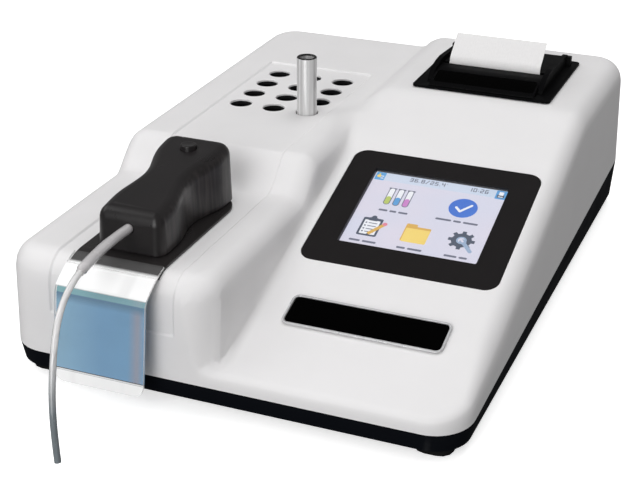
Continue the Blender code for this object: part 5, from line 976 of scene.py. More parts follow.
def grid_lines(low, high, wanted):
    """Sorted grid lines from low to high, without lines that nearly touch."""
    lines = [low]
    for value in sorted(wanted):
        if value - lines[-1] > GAP and high - value > GAP:
            lines.append(value)
    return lines + [high]


def refined(lines, spans):
    """Grid lines with more between them: none further apart than the step of the span they lie in."""
    result = [lines[0]]
    for low, high in zip(lines, lines[1:]):
        middle = (low + high) / 2
        step = min([step for start, end, step in spans if start < middle < end] + [COARSE_STEP])
        count = max(math.ceil((high - low) / step - GAP), 1)
        result += [low + (high - low) * number / count for number in range(1, count + 1)]
    return result


def housing_lines():
    """Grid lines of the housing's top, close together where its shape turns."""
    half_x, half_y = RIGHT_X - CORNER_RADIUS, BACK_Y - CORNER_RADIUS
    soft = CHANNEL_SOFTNESS / 2
    hollow, past_hollow = [DIVIDE_X + share * VALLEY_RADIUS for share in HOLLOW_SHARES]
    across = [DIVIDE_X - SHOULDER_RADIUS, DIVIDE_X, hollow, DIVIDE_X - LOBE_CORNER_RADIUS]
    spans_x = [(DIVIDE_X - LOBE_CORNER_RADIUS, past_hollow, DIVIDE_STEP)]
    for side in (-1, 1):
        edge = MODULE_X + side * CHANNEL_HALF_WIDTH
        across += [edge - soft, edge + soft]
        spans_x.append((edge - soft, edge + soft, soft / 3))
    across += [MODULE_X, RIGHT_X / 2]
    level = CREASE_Y - (PRINTER_DECK_HEIGHT - DECK_HEIGHT) / math.tan(CONSOLE_ANGLE)
    crease, ahead = [share * CREASE_SOFTNESS for share in CREASE_SHARES]
    channel = (CHANNEL_BACK_Y - soft, CHANNEL_BACK_Y + soft)
    along = [STEP_FRONT_Y, STEP_BACK_Y, CREASE_Y - crease, CREASE_Y + crease, level - ahead, *channel,
             DIVIDE_SHIFT_FRONT_Y, DIVIDE_SHIFT_BACK_Y]
    spans_y = [(STEP_FRONT_Y, STEP_BACK_Y, RISE_STEP), (DIVIDE_SHIFT_FRONT_Y, CREASE_Y + crease, SHIFT_STEP),
               (*channel, soft / 3)]
    return (refined(grid_lines(-half_x, half_x, across), spans_x),
            refined(grid_lines(-half_y, half_y, along), spans_y))


def grid_place(x, y):
    """Plan point of a grid node: lines near the divide follow it as it moves."""
    left = (x - DIVIDE_X + LOBE_CORNER_RADIUS) / (LOBE_CORNER_RADIUS - SHOULDER_RADIUS)
    right = (RIGHT_X / 2 - x) / (RIGHT_X / 2 - DIVIDE_X - SHOULDER_RADIUS)
    return x + divide_shift(y) * max(min(left, right, 1), 0), y


def housing_columns(lines_x, lines_y):
    """Border columns round the plan: (grid index x, grid index y, outward normal)."""
    last_x, last_y = len(lines_x) - 1, len(lines_y) - 1
    sides = ((-90, (0, -1), [(i, 0) for i in range(last_x + 1)]),
             (0, (1, 0), [(last_x, j) for j in range(last_y + 1)]),
             (90, (0, 1), [(i, last_y) for i in range(last_x, -1, -1)]),
             (180, (-1, 0), [(0, j) for j in range(last_y, -1, -1)]))
    columns = []
    for start, normal, places in sides:
        columns += [(*place, Vector(normal)) for place in places]
        for step in range(1, CORNER_STEPS):
            angle = math.radians(start + 90 * step / CORNER_STEPS)
            columns.append((*places[-1], Vector((math.cos(angle), math.sin(angle)))))
    return columns


def ledge_crossings(x, inset):
    """How far in a front column crosses the ledge's contours, from its hollow to its shoulder."""
    reach = LOBE_CORNER_RADIUS - inset
    across = x - (DIVIDE_X - LOBE_CORNER_RADIUS)
    wall = LEDGE_SLOPE * (LOBE_HEIGHT - PARTING_BACK)
    contours = [wall + (VALLEY_RADIUS + inset) * share for share in FILLET_SHARES]
    contours += [-(SHOULDER_RADIUS - inset) * share for share in FILLET_SHARES]
    return [reach - math.sqrt((reach + past) ** 2 - across ** 2)
            for past in contours if across > 0 and reach + past > across]


def border_points(corner, normal, inset):
    """One column of housing points, from the parting line up and in over the fillet."""
    reach = CORNER_RADIUS - inset
    edge = corner + normal * reach
    fillet, sampled = edge_fillet(edge.x, edge.y, normal)
    base = parting_height(edge.y) + GAP / 2
    rim = top_height(edge.x, edge.y, inset)
    fillet = min(max(fillet - inset, 0), (rim - base) / 2)
    sampled = max(sampled - inset, GAP)
    wanted = [sampled * share for share in FILLET_SHARES]
    if normal.y < 0:
        wanted += ledge_crossings(edge.x, inset)
    heights = [base, (base + rim - fillet) / 2]
    soft = CHANNEL_SOFTNESS / 2
    if normal.y < 0 and edge.x < DIVIDE_X and rim - fillet > CHANNEL_BOTTOM_Z + 2 * soft:
        heights = [base] + [CHANNEL_BOTTOM_Z + soft * share / 2 for share in (-2, -1, 0, 1, 2)]
    points = [(0, height) for height in heights]
    for inward in grid_lines(0, reach, wanted)[:-1]:
        spot = edge - normal * inward
        short = max(fillet - inward, 0)
        drop = fillet - math.sqrt(fillet ** 2 - short ** 2)
        points.append((inward, top_height(spot.x, spot.y, inset) - drop))
    column = []
    for inward, height in points:
        spot = edge - normal * inward
        groove = CHANNEL_DEPTH * channel_share(spot.x, spot.y, height) if normal.y <= 0 else 0
        lean = DRAFT_SLOPE * (height - base) * (1 - inward / reach)
        over = min(inward / sampled, 1)
        spot -= normal * (lean + groove * (1 - over))
        column.append((spot.x, spot.y, height - groove * over))
    return column


def laced(bm, first, second):
    """Faces between two columns: straight across when they match, or over the shorter diagonals."""
    if len(first) == len(second):
        for low, high, low_next, high_next in zip(first, first[1:], second, second[1:]):
            bm.faces.new(list(dict.fromkeys((low, low_next, high_next, high))))
        return
    i = j = 0
    while i < len(first) - 1 or j < len(second) - 1:
        ahead = (first[i + 1].co - second[j].co).length if i < len(first) - 1 else math.inf
        beside = (first[i].co - second[j + 1].co).length if j < len(second) - 1 else math.inf
        if ahead < beside:
            bm.faces.new((first[i], second[j], first[i + 1]))
            i += 1
        else:
            bm.faces.new((first[i], second[j], second[j + 1]))
            j += 1


def housing_skin(bm, inset, lines_x, lines_y):
    """Outer or inner skin of the housing; returns the loop along its lower edge."""
    def height(x, y):
        return top_height(x, y, inset) - CHANNEL_DEPTH * channel_share(x, y, DECK_HEIGHT)

    places = [[grid_place(x, y) for y in lines_y] for x in lines_x]
    grid = [[bm.verts.new((x, y, height(x, y))) for x, y in row] for row in places]
    for left, right in zip(grid, grid[1:]):
        for j in range(len(lines_y) - 1):
            bm.faces.new((left[j], right[j], right[j + 1], left[j + 1]))
    columns = []
    for i, j, normal in housing_columns(lines_x, lines_y):
        corner = Vector(places[i][j])
        column = [bm.verts.new(point) for point in border_points(corner, normal, inset)]
        columns.append(column + [grid[i][j]])
    for index, column in enumerate(columns):
        other = columns[(index + 1) % len(columns)]
        if column[-1] is other[-1] and len(column) != len(other):
            bm.faces.new((column[-2], other[-2], column[-1]))
            laced(bm, column[:-1], other[:-1])
        else:
            laced(bm, column, other)
    return [column[0] for column in columns]


def housing_shell():
    """The housing as one shell that is open below."""
    lines_x, lines_y = housing_lines()
    bm = bmesh.new()
    outer = housing_skin(bm, 0, lines_x, lines_y)
    inner = housing_skin(bm, WALL, lines_x, lines_y)
    for index, vertex in enumerate(outer):
        after = (index + 1) % len(outer)
        bm.faces.new((vertex, outer[after], inner[after], inner[index]))
    return closed(bm)


def well_centres():
    """Plan places of the wells, front row first, from left to right."""
    return [(MODULE_X + (column - (WELL_COLUMNS - 1) / 2) * WELL_PITCH_X, WELL_FRONT_Y + row * WELL_PITCH_Y)
            for row in range(WELL_ROWS_COUNT) for column in range(WELL_COLUMNS)]


def well_cutter(x, y):
    """The bore of one well, flared at the deck into a rounded rim."""
    deck = DECK_HEIGHT - CHANNEL_DEPTH
    low, high = deck - WALL - OVERRUN, deck + OVERRUN
    flare = [(WELL_RADIUS + WELL_RIM * out, deck - WELL_RIM * up) for out, up in quarter(WELL_RIM_STEPS)]
    return turned([(0, low), (WELL_RADIUS, low), *flare, (WELL_RADIUS + WELL_RIM, high), (0, high)], (x, y, 0))


def printer_tub_outline(clearance):
    """Outline of the tub that hangs in the printer bay."""
    return rounded_outline(PRINTER_WIDTH - 2 * TUB_SIDE_MARGIN + 2 * clearance,
                           PRINTER_LENGTH - 2 * TUB_END_MARGIN + 2 * clearance, PRINTER_CORNER)


def screw_rods(radius, low, high=None):
    """Rods at the housing's screws; without an upper end they reach into the housing's top."""
    x, y = RIGHT_X - SCREW_INSET_X, BACK_Y - SCREW_INSET_Y
    places = [(side_x * x, side_y * y) for side_y in (-1, 1) for side_x in (-1, 1)]
    return merged([rod(radius, (x, y, 0), low, top_height(x, y) - WALL * 4 / 5 if high is None else high)
                   for x, y in places])


def make_housing():
    """White housing with its openings, flared wells and screw bosses, and black collars in the wells as painted
    shade.
    """
    wells = [well_cutter(x, y) for x, y in well_centres()]
    socket = block((MODULE_X - CARRIER_HALF, OPTICS_Y - CARRIER_HALF, LOBE_HEIGHT - WALL - OVERRUN),
                   (MODULE_X + CARRIER_HALF, OPTICS_Y + CARRIER_HALF, LOBE_HEIGHT + OVERRUN))
    window = prism(rounded_outline(DISPLAY_WIDTH + 2 * GAP, DISPLAY_LENGTH + 2 * GAP, DISPLAY_CORNER),
                   -WALL - OVERRUN, OVERRUN, console_frame(DISPLAY_X, DISPLAY_Y))
    bay = prism(printer_tub_outline(GAP), PRINTER_DECK_HEIGHT - WALL - OVERRUN, PRINTER_DECK_HEIGHT + OVERRUN,
                PRINTER_PLACE)
    half, rise = REAR_PANEL_WIDTH / 2 + GAP, REAR_PANEL_HEIGHT / 2 + GAP
    back = block((REAR_PANEL_X - half, BACK_Y - 2 * WALL - OVERRUN, REAR_PANEL_Z - rise),
                 (REAR_PANEL_X + half, BACK_Y + OVERRUN, REAR_PANEL_Z + rise))
    add_piece("housing_shell", "housing", housing_shell(), "base", "top_housing",
              cuts=[merged([*wells, socket, window, bay, back]),
                    screw_rods(SCREW_RADIUS + GAP, 0, WALL + SCREW_LENGTH)],
              unions=[screw_rods(BOSS_RADIUS, WALL + GAP)])

    # Painted shade: black collars line each well from the block up to just below its white rim.
    top = DECK_HEIGHT - CHANNEL_DEPTH - COLLAR_DROP
    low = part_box("incubator_block")[1].z - ORIGIN.z + GAP / 3
    outer = WELL_RADIUS - GAP / 3
    inner = outer - COLLAR_THICKNESS
    profile = [(inner, low), (outer, low), (outer, top), (inner, top)]
    collars = merged([turned(profile, (x, y, 0)) for x, y in well_centres()])
    add_piece("well_shade_collars", "well_black", collars, "base")


def pan_ring(inset, height):
    """One ring of the pan's outline; height None follows the parting line."""
    outline = rounded_outline(BODY_WIDTH - 2 * inset, BODY_DEPTH - 2 * inset, CORNER_RADIUS - inset)
    return [(x, y, parting_height(y) - GAP / 2 if height is None else height) for x, y in outline]


def make_pan():
    """Black base pan with counterbored screw holes."""
    tray = stacked([pan_ring(PAN_INSET, 0), pan_ring(0, None), pan_ring(WALL, None),
                    pan_ring(WALL + PAN_INSET, WALL)])
    add_piece("pan_tray", "pan", tray, "base", "base_pan", bevel=SOFT_EDGE * 3 / 4,
              cuts=[screw_rods(SCREW_RADIUS + GAP, -OVERRUN, WALL + OVERRUN),
                    screw_rods(SCREW_HEAD_RADIUS + GAP, -OVERRUN, SCREW_HEAD_HEIGHT + GAP)])


make_housing()
make_pan()

# Sipper module
SIPPER_EXIT_Z = 0.0794
TEAL_SHARE = 0.8
GROOVE_HEIGHT = 0.0007
GROOVE_DEPTH = 0.0006
FLANK_STEPS = 40
BUTTON_EDGE_STEPS = 6
SHEET_SHARP = 50


def module_half_width(y):
    """The cover's half width: drawn in at its waist."""
    share = min(abs(y - MODULE_WAIST_Y) / MODULE_WAIST_REACH, 1)
    spread = MODULE_BACK_SPREAD * smooth_share((y - MODULE_WAIST_Y) / MODULE_WAIST_REACH)
    return MODULE_HALF_WIDTH + spread - MODULE_WAIST * (1 + math.cos(math.pi * share)) / 2


def module_top(y):
    """The cover's sloping top."""
    return MODULE_FRONT_TOP + (MODULE_BACK_TOP - MODULE_FRONT_TOP) * (y - MODULE_FRONT_Y) / MODULE_LENGTH


def cover_ring(inset, height=None, drop=0):
    """Plan of the cover, anticlockwise from its front right corner, at a height or below its sloping top."""
    front, back = MODULE_FRONT_Y + inset, MODULE_BACK_Y - inset
    corner, back_corner = [max(radius - inset, GAP) for radius in (MODULE_FRONT_CORNER, MODULE_BACK_CORNER)]
    flank = [(front + corner * out, corner * up) for out, up in quarter(CORNER_STEPS)]
    flank += [(front + corner + (back - front - corner - back_corner) * step / FLANK_STEPS, 0)
              for step in range(1, FLANK_STEPS)]
    flank += [(back - back_corner * up, back_corner * out) for out, up in quarter(CORNER_STEPS)]
    right = [(module_half_width(y) - inset - short, y) for y, short in flank]
    return [(COVER_X + side * x, y, module_top(y) - drop if height is None else height)
            for side, points in ((1, right), (-1, right[::-1])) for x, y in points]


def make_module():
    """Plate, cover with its parting groove, and button."""
    path = shield_path()[0]
    floor = path[0][1]
    rows = [(PLATE_HALF_WIDTH - PLATE_CORNER * up, PLATE_BACK_Y - PLATE_CORNER * out, floor, 0)
            for out, up in quarter(SHEET_ROWS)]
    rows += [(PLATE_HALF_WIDTH, *spot) for spot in path]
    add_piece("sipper_plate", "plate", sheet(MODULE_X, rows, PLATE_THICKNESS), "sipper_module", "module_plate",
              bevel=SOFT_EDGE / 2)

    base = floor + PLATE_THICKNESS + GAP
    wall = MODULE_WALL + MODULE_DRAFT
    rings = [cover_ring(MODULE_DRAFT + MODULE_FILLET * out, drop=MODULE_FILLET * up)
             for out, up in reversed(quarter(FILLET_STEPS))]
    rings += [cover_ring(inset, base + rise)
              for inset, rise in ((0, GROOVE_HEIGHT + GAP / 2), (GROOVE_DEPTH, GROOVE_HEIGHT), (GROOVE_DEPTH, 0),
                                  (MODULE_WALL, 0))]
    rings += [cover_ring(wall, drop=MODULE_FILLET), cover_ring(wall + MODULE_FILLET / 2, drop=MODULE_WALL)]
    low = module_top(BUTTON_Y) - MODULE_FILLET
    hole = rod(BUTTON_RADIUS + GAP, (COVER_X, BUTTON_Y, 0), low, MODULE_BACK_TOP + OVERRUN)
    exit_hole = rod(SLEEVE_RADIUS + GAP, (COVER_X, 0, SIPPER_EXIT_Z), MODULE_FRONT_Y - OVERRUN,
                    MODULE_FRONT_Y + MODULE_FILLET, "Y")
    add_piece("sipper_cover", "cover", stacked(rings), "sipper_module", "module_cover",
              cuts=[hole, exit_hole])

    high = module_top(BUTTON_Y) + BUTTON_PROUD
    collar = BUTTON_RADIUS + MODULE_WALL
    edge = BUTTON_PROUD / 4
    profile = [(0, low), (collar, low), (collar, low + MODULE_WALL), (BUTTON_RADIUS, low + MODULE_WALL)]
    profile += [(BUTTON_RADIUS - edge * out, high - edge * up) for out, up in quarter(BUTTON_EDGE_STEPS)]
    profile += [(BUTTON_RADIUS * 2 / 3, high - edge / 4), (0, high - edge * 2 / 5)]
    add_piece("aspirate_key", "cover", turned(profile, (COVER_X, BUTTON_Y, 0)), "button", "aspirate_button")


def before_end(path, distance):
    """The place on a side profile this far before its end."""
    y, z, tilt = path[-1]
    return y + distance * math.cos(tilt), z + distance * math.sin(tilt), tilt


def make_shield():
    """Clear shield, and the blue panel behind it with its lighter stripe on top."""
    path = shield_path()[1]
    rows = [(PLATE_HALF_WIDTH, *spot) for spot in path[:-1]]
    rows += [(PLATE_HALF_WIDTH - SHIELD_CORNER * out, *before_end(path, SHIELD_CORNER * up))
             for out, up in quarter(CORNER_STEPS)]
    add_piece("shield_sheet", "shield", sheet(MODULE_X, rows, SHIELD_THICKNESS), "sipper_module",
              "splash_shield", sharp=SHEET_SHARP)
    behind = TINT_THICKNESS + GAP
    rows = [(PLATE_HALF_WIDTH - GAP, y + behind * math.sin(tilt), z - behind * math.cos(tilt), tilt)
            for y, z, tilt in path[-SHEET_ROWS - 2:-1] + [before_end(path, TINT_BOTTOM_CLEAR)]]
    split = round(SHEET_ROWS * TEAL_SHARE)
    add_piece("shield_panel", "tint", sheet(MODULE_X, rows[split:], TINT_THICKNESS), "sipper_module",
              "shield_tint", sharp=SHEET_SHARP)
    add_piece("shield_stripe", "teal", sheet(MODULE_X, rows[:split + 1], TINT_THICKNESS), "sipper_module",
              sharp=SHEET_SHARP)


make_module()
make_shield()

# Tube that stands in a well
TUBE_BOTTOM_STEPS = 12
# A bead round the tube's mouth whose top is painted dark as shade.
RIM_BEAD = 0.0007
RIM_BEAD_HEIGHT = 0.0006


def make_test_tube():
    """Round-bottomed glass tube with a bead round its mouth, its top painted dark as shade."""
    x, y = well_centres()[WELL_COLUMNS - 1]
    bottom = DECK_HEIGHT + TUBE_RISE - TUBE_LENGTH
    top = bottom + TUBE_LENGTH
    rim = TUBE_WALL / 5
    inner = TUBE_RADIUS - TUBE_WALL
    mouth = inner - RIM_BEAD
    outside, inside = [[(radius * (1 - up), bottom + TUBE_RADIUS - radius * (1 - out))
                        for out, up in quarter(TUBE_BOTTOM_STEPS)] for radius in (TUBE_RADIUS, inner)]
    lip = [(TUBE_RADIUS, top - GAP), (TUBE_RADIUS - rim, top), (mouth + rim, top), (mouth, top - rim),
           (mouth, top - RIM_BEAD_HEIGHT), (inner, top - RIM_BEAD_HEIGHT - RIM_BEAD)]
    profile = outside + lip + inside[::-1]
    thing = add_piece("glass_tube", "tube_glass", turned(profile, (x, y, 0)), "tube", "test_tube")
    # Painted shade: the mouth's top faces take the dark rim finish.
    thing.data.materials.append(FINISHES["rim"])
    for face in thing.data.polygons:
        if face.center.z > (ORIGIN.z + top) - GAP * 2 and len(face.vertices) == 4:
            face.material_index = 1


make_test_tube()


# Display and nameplate

def make_display():
    """Bezel with a softened edge, and the bare nameplate in its bright frame."""
    place = console_frame(DISPLAY_X, DISPLAY_Y)
    opening = prism(rounded_outline(SCREEN_WIDTH, SCREEN_LENGTH, GAP * 3, 3), -DISPLAY_DEPTH - OVERRUN, OVERRUN,
                    place @ Matrix.Translation((GAP, SCREEN_SHIFT, 0)))
    bezel = prism(rounded_outline(DISPLAY_WIDTH, DISPLAY_LENGTH, DISPLAY_CORNER), GAP - DISPLAY_DEPTH, GAP,
                  place)
    add_piece("display_frame", "bezel", bezel, "base", "display_bezel", cuts=[opening],
              bevel=SOFT_EDGE * 5 / 8)
    place = console_frame(NAMEPLATE_X, NAMEPLATE_Y, GAP)
    outline, hole, field = [rounded_outline(NAMEPLATE_WIDTH - 2 * inset, NAMEPLATE_LENGTH - 2 * inset,
                                            NAMEPLATE_CORNER - inset)
                            for inset in (0, NAMEPLATE_RIM, NAMEPLATE_RIM + GAP)]
    add_piece("badge_frame", "silver", prism(outline, 0, NAMEPLATE_THICKNESS, place), "base", "nameplate_frame",
              cuts=[prism(hole, -OVERRUN, OVERRUN, place)], bevel=SOFT_EDGE * 3 / 4)
    add_piece("badge_field", "gloss", prism(field, 0, NAMEPLATE_THICKNESS * 2 / 3, place), "base",
              "nameplate_field", bevel=SOFT_EDGE / 2)


make_display()

# Printer
TUB_DEPTH = 0.048
CHEEK_RISE = 0.0093
CHEEK_FALL = 0.0030
HINGE_BOSS_WIDTH = 0.0029
HINGE_BOSS_LENGTH = 0.0040
WEDGE_RISE = 0.0058
WEDGE_LENGTH = 0.0245
SLOT_HALF = 0.0020
DOOR_THICKNESS = 0.0025
LABEL_DEPTH = 0.0006
LABEL_MARGIN_X = 0.0012
LABEL_SHARES = (0.15, 0.57)
LABEL_CORNER = 0.0022
HINGE_RADIUS = 0.0015
KNUCKLE_RADIUS = 0.0030
EAR_THICKNESS = 0.0025
AXLE_RADIUS = 0.002
PLATEN_RADIUS = 0.005
CHEEK_STEPS = 30
INNER_HALF = PRINTER_WIDTH / 2 - TUB_SIDE_MARGIN - PRINTER_WALL
COVER_FRONT_Y = PRINTER_FRONT_Y + TUB_END_MARGIN / 2


def printer_top(y):
    """Height of the printer's cover: rises from its front edge, then level up to the slot and on."""
    run = PRINTER_FRONT_Y + WEDGE_LENGTH - COVER_FRONT_Y
    share = smooth_share((y - COVER_FRONT_Y) / run / 2 + 1 / 2) * 2 - 1
    return FLANGE_TOP + GAP + WEDGE_RISE * min(max(share, 0), 1)


def cheek_height(y):
    """Top of the side cheeks: a rounded front, the highest point, then a slight fall to the back."""
    if y < CHEEK_PEAK_Y:
        share = (CHEEK_PEAK_Y - y) / CHEEK_ARCH_LENGTH
        return FLANGE_TOP + CHEEK_RISE * math.sqrt(max(1 - share * share, 0))
    return FLANGE_TOP + CHEEK_RISE - CHEEK_FALL * (y - CHEEK_PEAK_Y) / (CHEEK_BACK_Y - CHEEK_PEAK_Y)


HINGE = (0, CHEEK_BACK_Y - KNUCKLE_RADIUS - GAP, printer_top(CHEEK_BACK_Y) - KNUCKLE_RADIUS)


def cross_rod(radius, centre, half):
    """A cylinder across the printer."""
    return rod(radius, centre, PRINTER_X - half, PRINTER_X + half, "X")


def side_blocks(near, far, low, high):
    """Two boxes, between two distances on both sides of the printer's middle."""
    for side in (-1, 1):
        ends = sorted((PRINTER_X + side * near, PRINTER_X + side * far))
        yield block((ends[0], *low), (ends[1], *high))


def make_printer_frame():
    """Flange, tub and the two cheeks with their rounded fronts and hinge bosses."""
    flange = prism(rounded_outline(PRINTER_WIDTH, PRINTER_LENGTH, PRINTER_CORNER), PRINTER_DECK_HEIGHT + GAP,
                   FLANGE_TOP, PRINTER_PLACE)
    base = PRINTER_DECK_HEIGHT + PRINTER_FLANGE / 2
    floor = PRINTER_DECK_HEIGHT - TUB_DEPTH
    tub = prism(printer_tub_outline(0), floor, base, PRINTER_PLACE)
    bay = block((PRINTER_X - INNER_HALF, PRINTER_FRONT_Y + TUB_END_MARGIN + PRINTER_WALL, floor + PRINTER_WALL),
                (PRINTER_X + INNER_HALF, CHEEK_BACK_Y + GAP, FLANGE_TOP + OVERRUN))
    ys = [CHEEK_FRONT_Y + CHEEK_ARCH_LENGTH * out for out, _ in quarter(CHEEK_STEPS)] + [CHEEK_BACK_Y]
    profile = [(ys[-1], base), (ys[0], base)] + [(y, cheek_height(y)) for y in ys]
    cheeks = [across(profile, CHEEK_WIDTH / 2, PRINTER_X + side * (INNER_HALF + CHEEK_WIDTH / 2))
              for side in (-1, 1)]
    outer = INNER_HALF + CHEEK_WIDTH
    bosses = side_blocks(outer - GAP, outer + HINGE_BOSS_WIDTH, (CHEEK_BACK_Y - HINGE_BOSS_LENGTH, base),
                         (CHEEK_BACK_Y - GAP, cheek_height(CHEEK_BACK_Y) - GAP))
    add_piece("printer_body", "printer", flange, "base", "printer_frame", bevel=SOFT_EDGE,
              unions=[tub, merged(cheeks), merged(bosses)],
              cuts=[bay, cross_rod(HINGE_RADIUS + GAP, HINGE, INNER_HALF + CHEEK_WIDTH / 2)])


def label_rows(start, end, half, lift):
    """Rows of a patch on the front cover, with rounded corners."""
    arc = quarter(CORNER_STEPS)
    run = end - start - 2 * LABEL_CORNER
    rows = [(start + LABEL_CORNER * out, half - LABEL_CORNER * up) for out, up in arc]
    rows += [(start + LABEL_CORNER + run * step / SHEET_ROWS, half) for step in range(1, SHEET_ROWS)]
    rows += [(end - LABEL_CORNER * up, half - LABEL_CORNER * out) for out, up in arc]
    return [(reach, y, printer_top(y) + lift, 0) for y, reach in rows]


def make_printer_cover():
    """Front cover with a recess, and the bare glossy label in it."""
    half = INNER_HALF - GAP
    run = SLOT_Y - SLOT_HALF - COVER_FRONT_Y
    floor = FLANGE_TOP + GAP
    ys = [COVER_FRONT_Y + run * step / CHEEK_STEPS for step in range(CHEEK_STEPS + 1)]
    wedge = [(ys[-1], floor), (ys[0], floor)] + [(y, max(printer_top(y), floor + GAP)) for y in ys]
    start, end = [COVER_FRONT_Y + run * share for share in LABEL_SHARES]
    recess = sheet(PRINTER_X, label_rows(start, end, half - LABEL_MARGIN_X, -LABEL_DEPTH),
                   LABEL_DEPTH + OVERRUN)
    add_piece("printer_nose", "printer", across(wedge, half, PRINTER_X), "base", "printer_front_cover",
              cuts=[recess], bevel=SOFT_EDGE / 2)
    label = label_rows(start + GAP, end - GAP, half - LABEL_MARGIN_X - GAP, -LABEL_DEPTH + GAP / 10)
    add_piece("printer_label", "gloss", sheet(PRINTER_X, label, LABEL_DEPTH / 2), "base")


def make_printer_door():
    """Lid with its hinge knuckle and the ears that carry the platen."""
    half = INNER_HALF - GAP
    platen_y = SLOT_Y + PAPER_THICKNESS / 2 + GAP + PLATEN_RADIUS
    platen_z = FLANGE_TOP - PLATEN_RADIUS + GAP
    top = printer_top(SLOT_Y)
    low = top - DOOR_THICKNESS
    lid = block((PRINTER_X - half, SLOT_Y + SLOT_HALF, low), (PRINTER_X + half, HINGE[1], top))
    ear_in = PAPER_WIDTH / 2 + 2 * GAP
    ears = side_blocks(ear_in, ear_in + EAR_THICKNESS, (SLOT_Y + SLOT_HALF, platen_z - PLATEN_RADIUS),
                       (platen_y + PLATEN_RADIUS, low + DOOR_THICKNESS / 2))
    add_piece("printer_lid", "printer", lid, "door", "printer_door", bevel=SOFT_EDGE,
              unions=[cross_rod(KNUCKLE_RADIUS, HINGE, half), merged(ears)],
              cuts=[cross_rod(HINGE_RADIUS + GAP, HINGE, half + OVERRUN),
                    cross_rod(AXLE_RADIUS + GAP, (0, platen_y, platen_z), half)])


make_printer_frame()
make_printer_cover()
make_printer_door()

# Picture on the screen, in millimetres from its lower left corner
MM = 0.001
PICTURE_WIDTH = SCREEN_WIDTH / MM
PICTURE_HEIGHT = SCREEN_LENGTH / MM
PICTURE_LIFT = 2.1
BACKDROP_LOW = -2.25
BACKDROP_HIGH = -2.05
LAYER = 0.045
LAYER_THICKNESS = 0.04
DISC_SIDES = 40
CAPSULE_STEPS = 6
DIGIT_SHARE = 0.55
SEGMENT_CELLS = {"a": (0, 2, 1, 2), "b": (1, 2, 1, 1), "c": (1, 1, 1, 0), "d": (0, 0, 1, 0), "e": (0, 0, 0, 1),
                 "f": (0, 1, 0, 2), "g": (0, 1, 1, 1), "/": (0, 0, 1, 2), ".": (0, 0, 0, 0),
                 ":": (0, 0.6, 0, 0.6), ";": (0, 1.5, 0, 1.5), "o": (0, 1.8, 0, 1.8)}
DIGITS = {"0": "abcdef", "1": "bc", "2": "abged", "3": "abgcd", "4": "fgbc", "5": "afgcd", "6": "afgedc",
          "7": "abc", "8": "abcdefg", "9": "abcdfg", "/": "/", ".": ".", ":": ":;", "o": "o"}
NARROW_SIGNS = ".:o"
SCREEN_STRENGTH = 0.86
SCREEN_COLOURS = {
    "backdrop": ((214, 216, 234), (222, 217, 232)), "top_bar": ((196, 213, 234), (212, 220, 238)),
    "ink": ((96, 100, 120), (108, 112, 132)), "slate": ((50, 62, 84), (62, 76, 100)),
    "blue": ((30, 104, 208), (46, 128, 222)), "sky": ((70, 150, 214), (92, 166, 222)),
    "white": ((238, 241, 248), (246, 247, 250)), "yellow": ((240, 204, 88), (248, 218, 112)),
    "ochre": ((214, 168, 60), (224, 176, 76)), "pink": ((222, 120, 140), (232, 136, 156)),
    "lime": ((176, 196, 84), (196, 208, 108)), "violet": ((196, 116, 196), (214, 140, 208)),
    "steel_blue": ((142, 166, 198), (160, 182, 210)),
}


def hue(channels):
    """A linear colour from the usual 0 to 255 values."""
    shares = [value / 255 for value in channels]
    return tuple(share / 12.92 if share <= 0.04045 else ((share + 0.055) / 1.055) ** 2.4 for share in shares)


def disc(x, y, radius):
    """A circle's outline."""
    angles = [2 * math.pi * side / DISC_SIDES for side in range(DISC_SIDES)]
    return [(x + radius * math.cos(angle), y + radius * math.sin(angle)) for angle in angles]


def bar(low_x, low_y, high_x, high_y, corner=0.3):
    """A rounded rectangle's outline between two corners."""
    return [((low_x + high_x) / 2 + x, (low_y + high_y) / 2 + y)
            for x, y in rounded_outline(high_x - low_x, high_y - low_y, corner, CAPSULE_STEPS)]


def stroke(start_x, start_y, end_x, end_y, width):
    """The outline of a line with round ends."""
    turn = math.atan2(end_y - start_y, end_x - start_x)
    points = []
    for x, y, begin in ((end_x, end_y, turn - math.pi / 2), (start_x, start_y, turn + math.pi / 2)):
        for step in range(CAPSULE_STEPS + 1):
            angle = begin + math.pi * step / CAPSULE_STEPS
            points.append((x + width / 2 * math.cos(angle), y + width / 2 * math.sin(angle)))
    return points


def digits(text, x, y, height, width=0.5):
    """Strokes of a row of plain digits."""
    cell = height / 2
    strokes = []
    for sign in text:
        for segment in DIGITS[sign]:
            steps = zip((x, y, x, y), SEGMENT_CELLS[segment], (DIGIT_SHARE * 2, 1, DIGIT_SHARE * 2, 1))
            strokes.append(stroke(*[start + count * cell * share for start, count, share in steps], width))
        x += cell * (1 if sign in NARROW_SIGNS else 2.1) * DIGIT_SHARE * 2 / 1.15
    return strokes


def gear(x, y, root, tip, teeth):
    """A toothed wheel's outline."""
    corners = [(2 * math.pi * (tooth + share) / teeth, radius) for tooth in range(teeth)
               for share, radius in ((-0.27, root), (-0.19, tip), (0.19, tip), (0.27, root))]
    return [(x + radius * math.cos(angle), y + radius * math.sin(angle)) for angle, radius in corners]


def dashes(x, y, lengths, gap=1.2, height=1.5):
    """Short bars that stand in for a caption."""
    outlines = []
    for length in lengths:
        outlines.append(bar(x, y - height / 2, x + length, y + height / 2, height / 2.1))
        x += length + gap
    return outlines


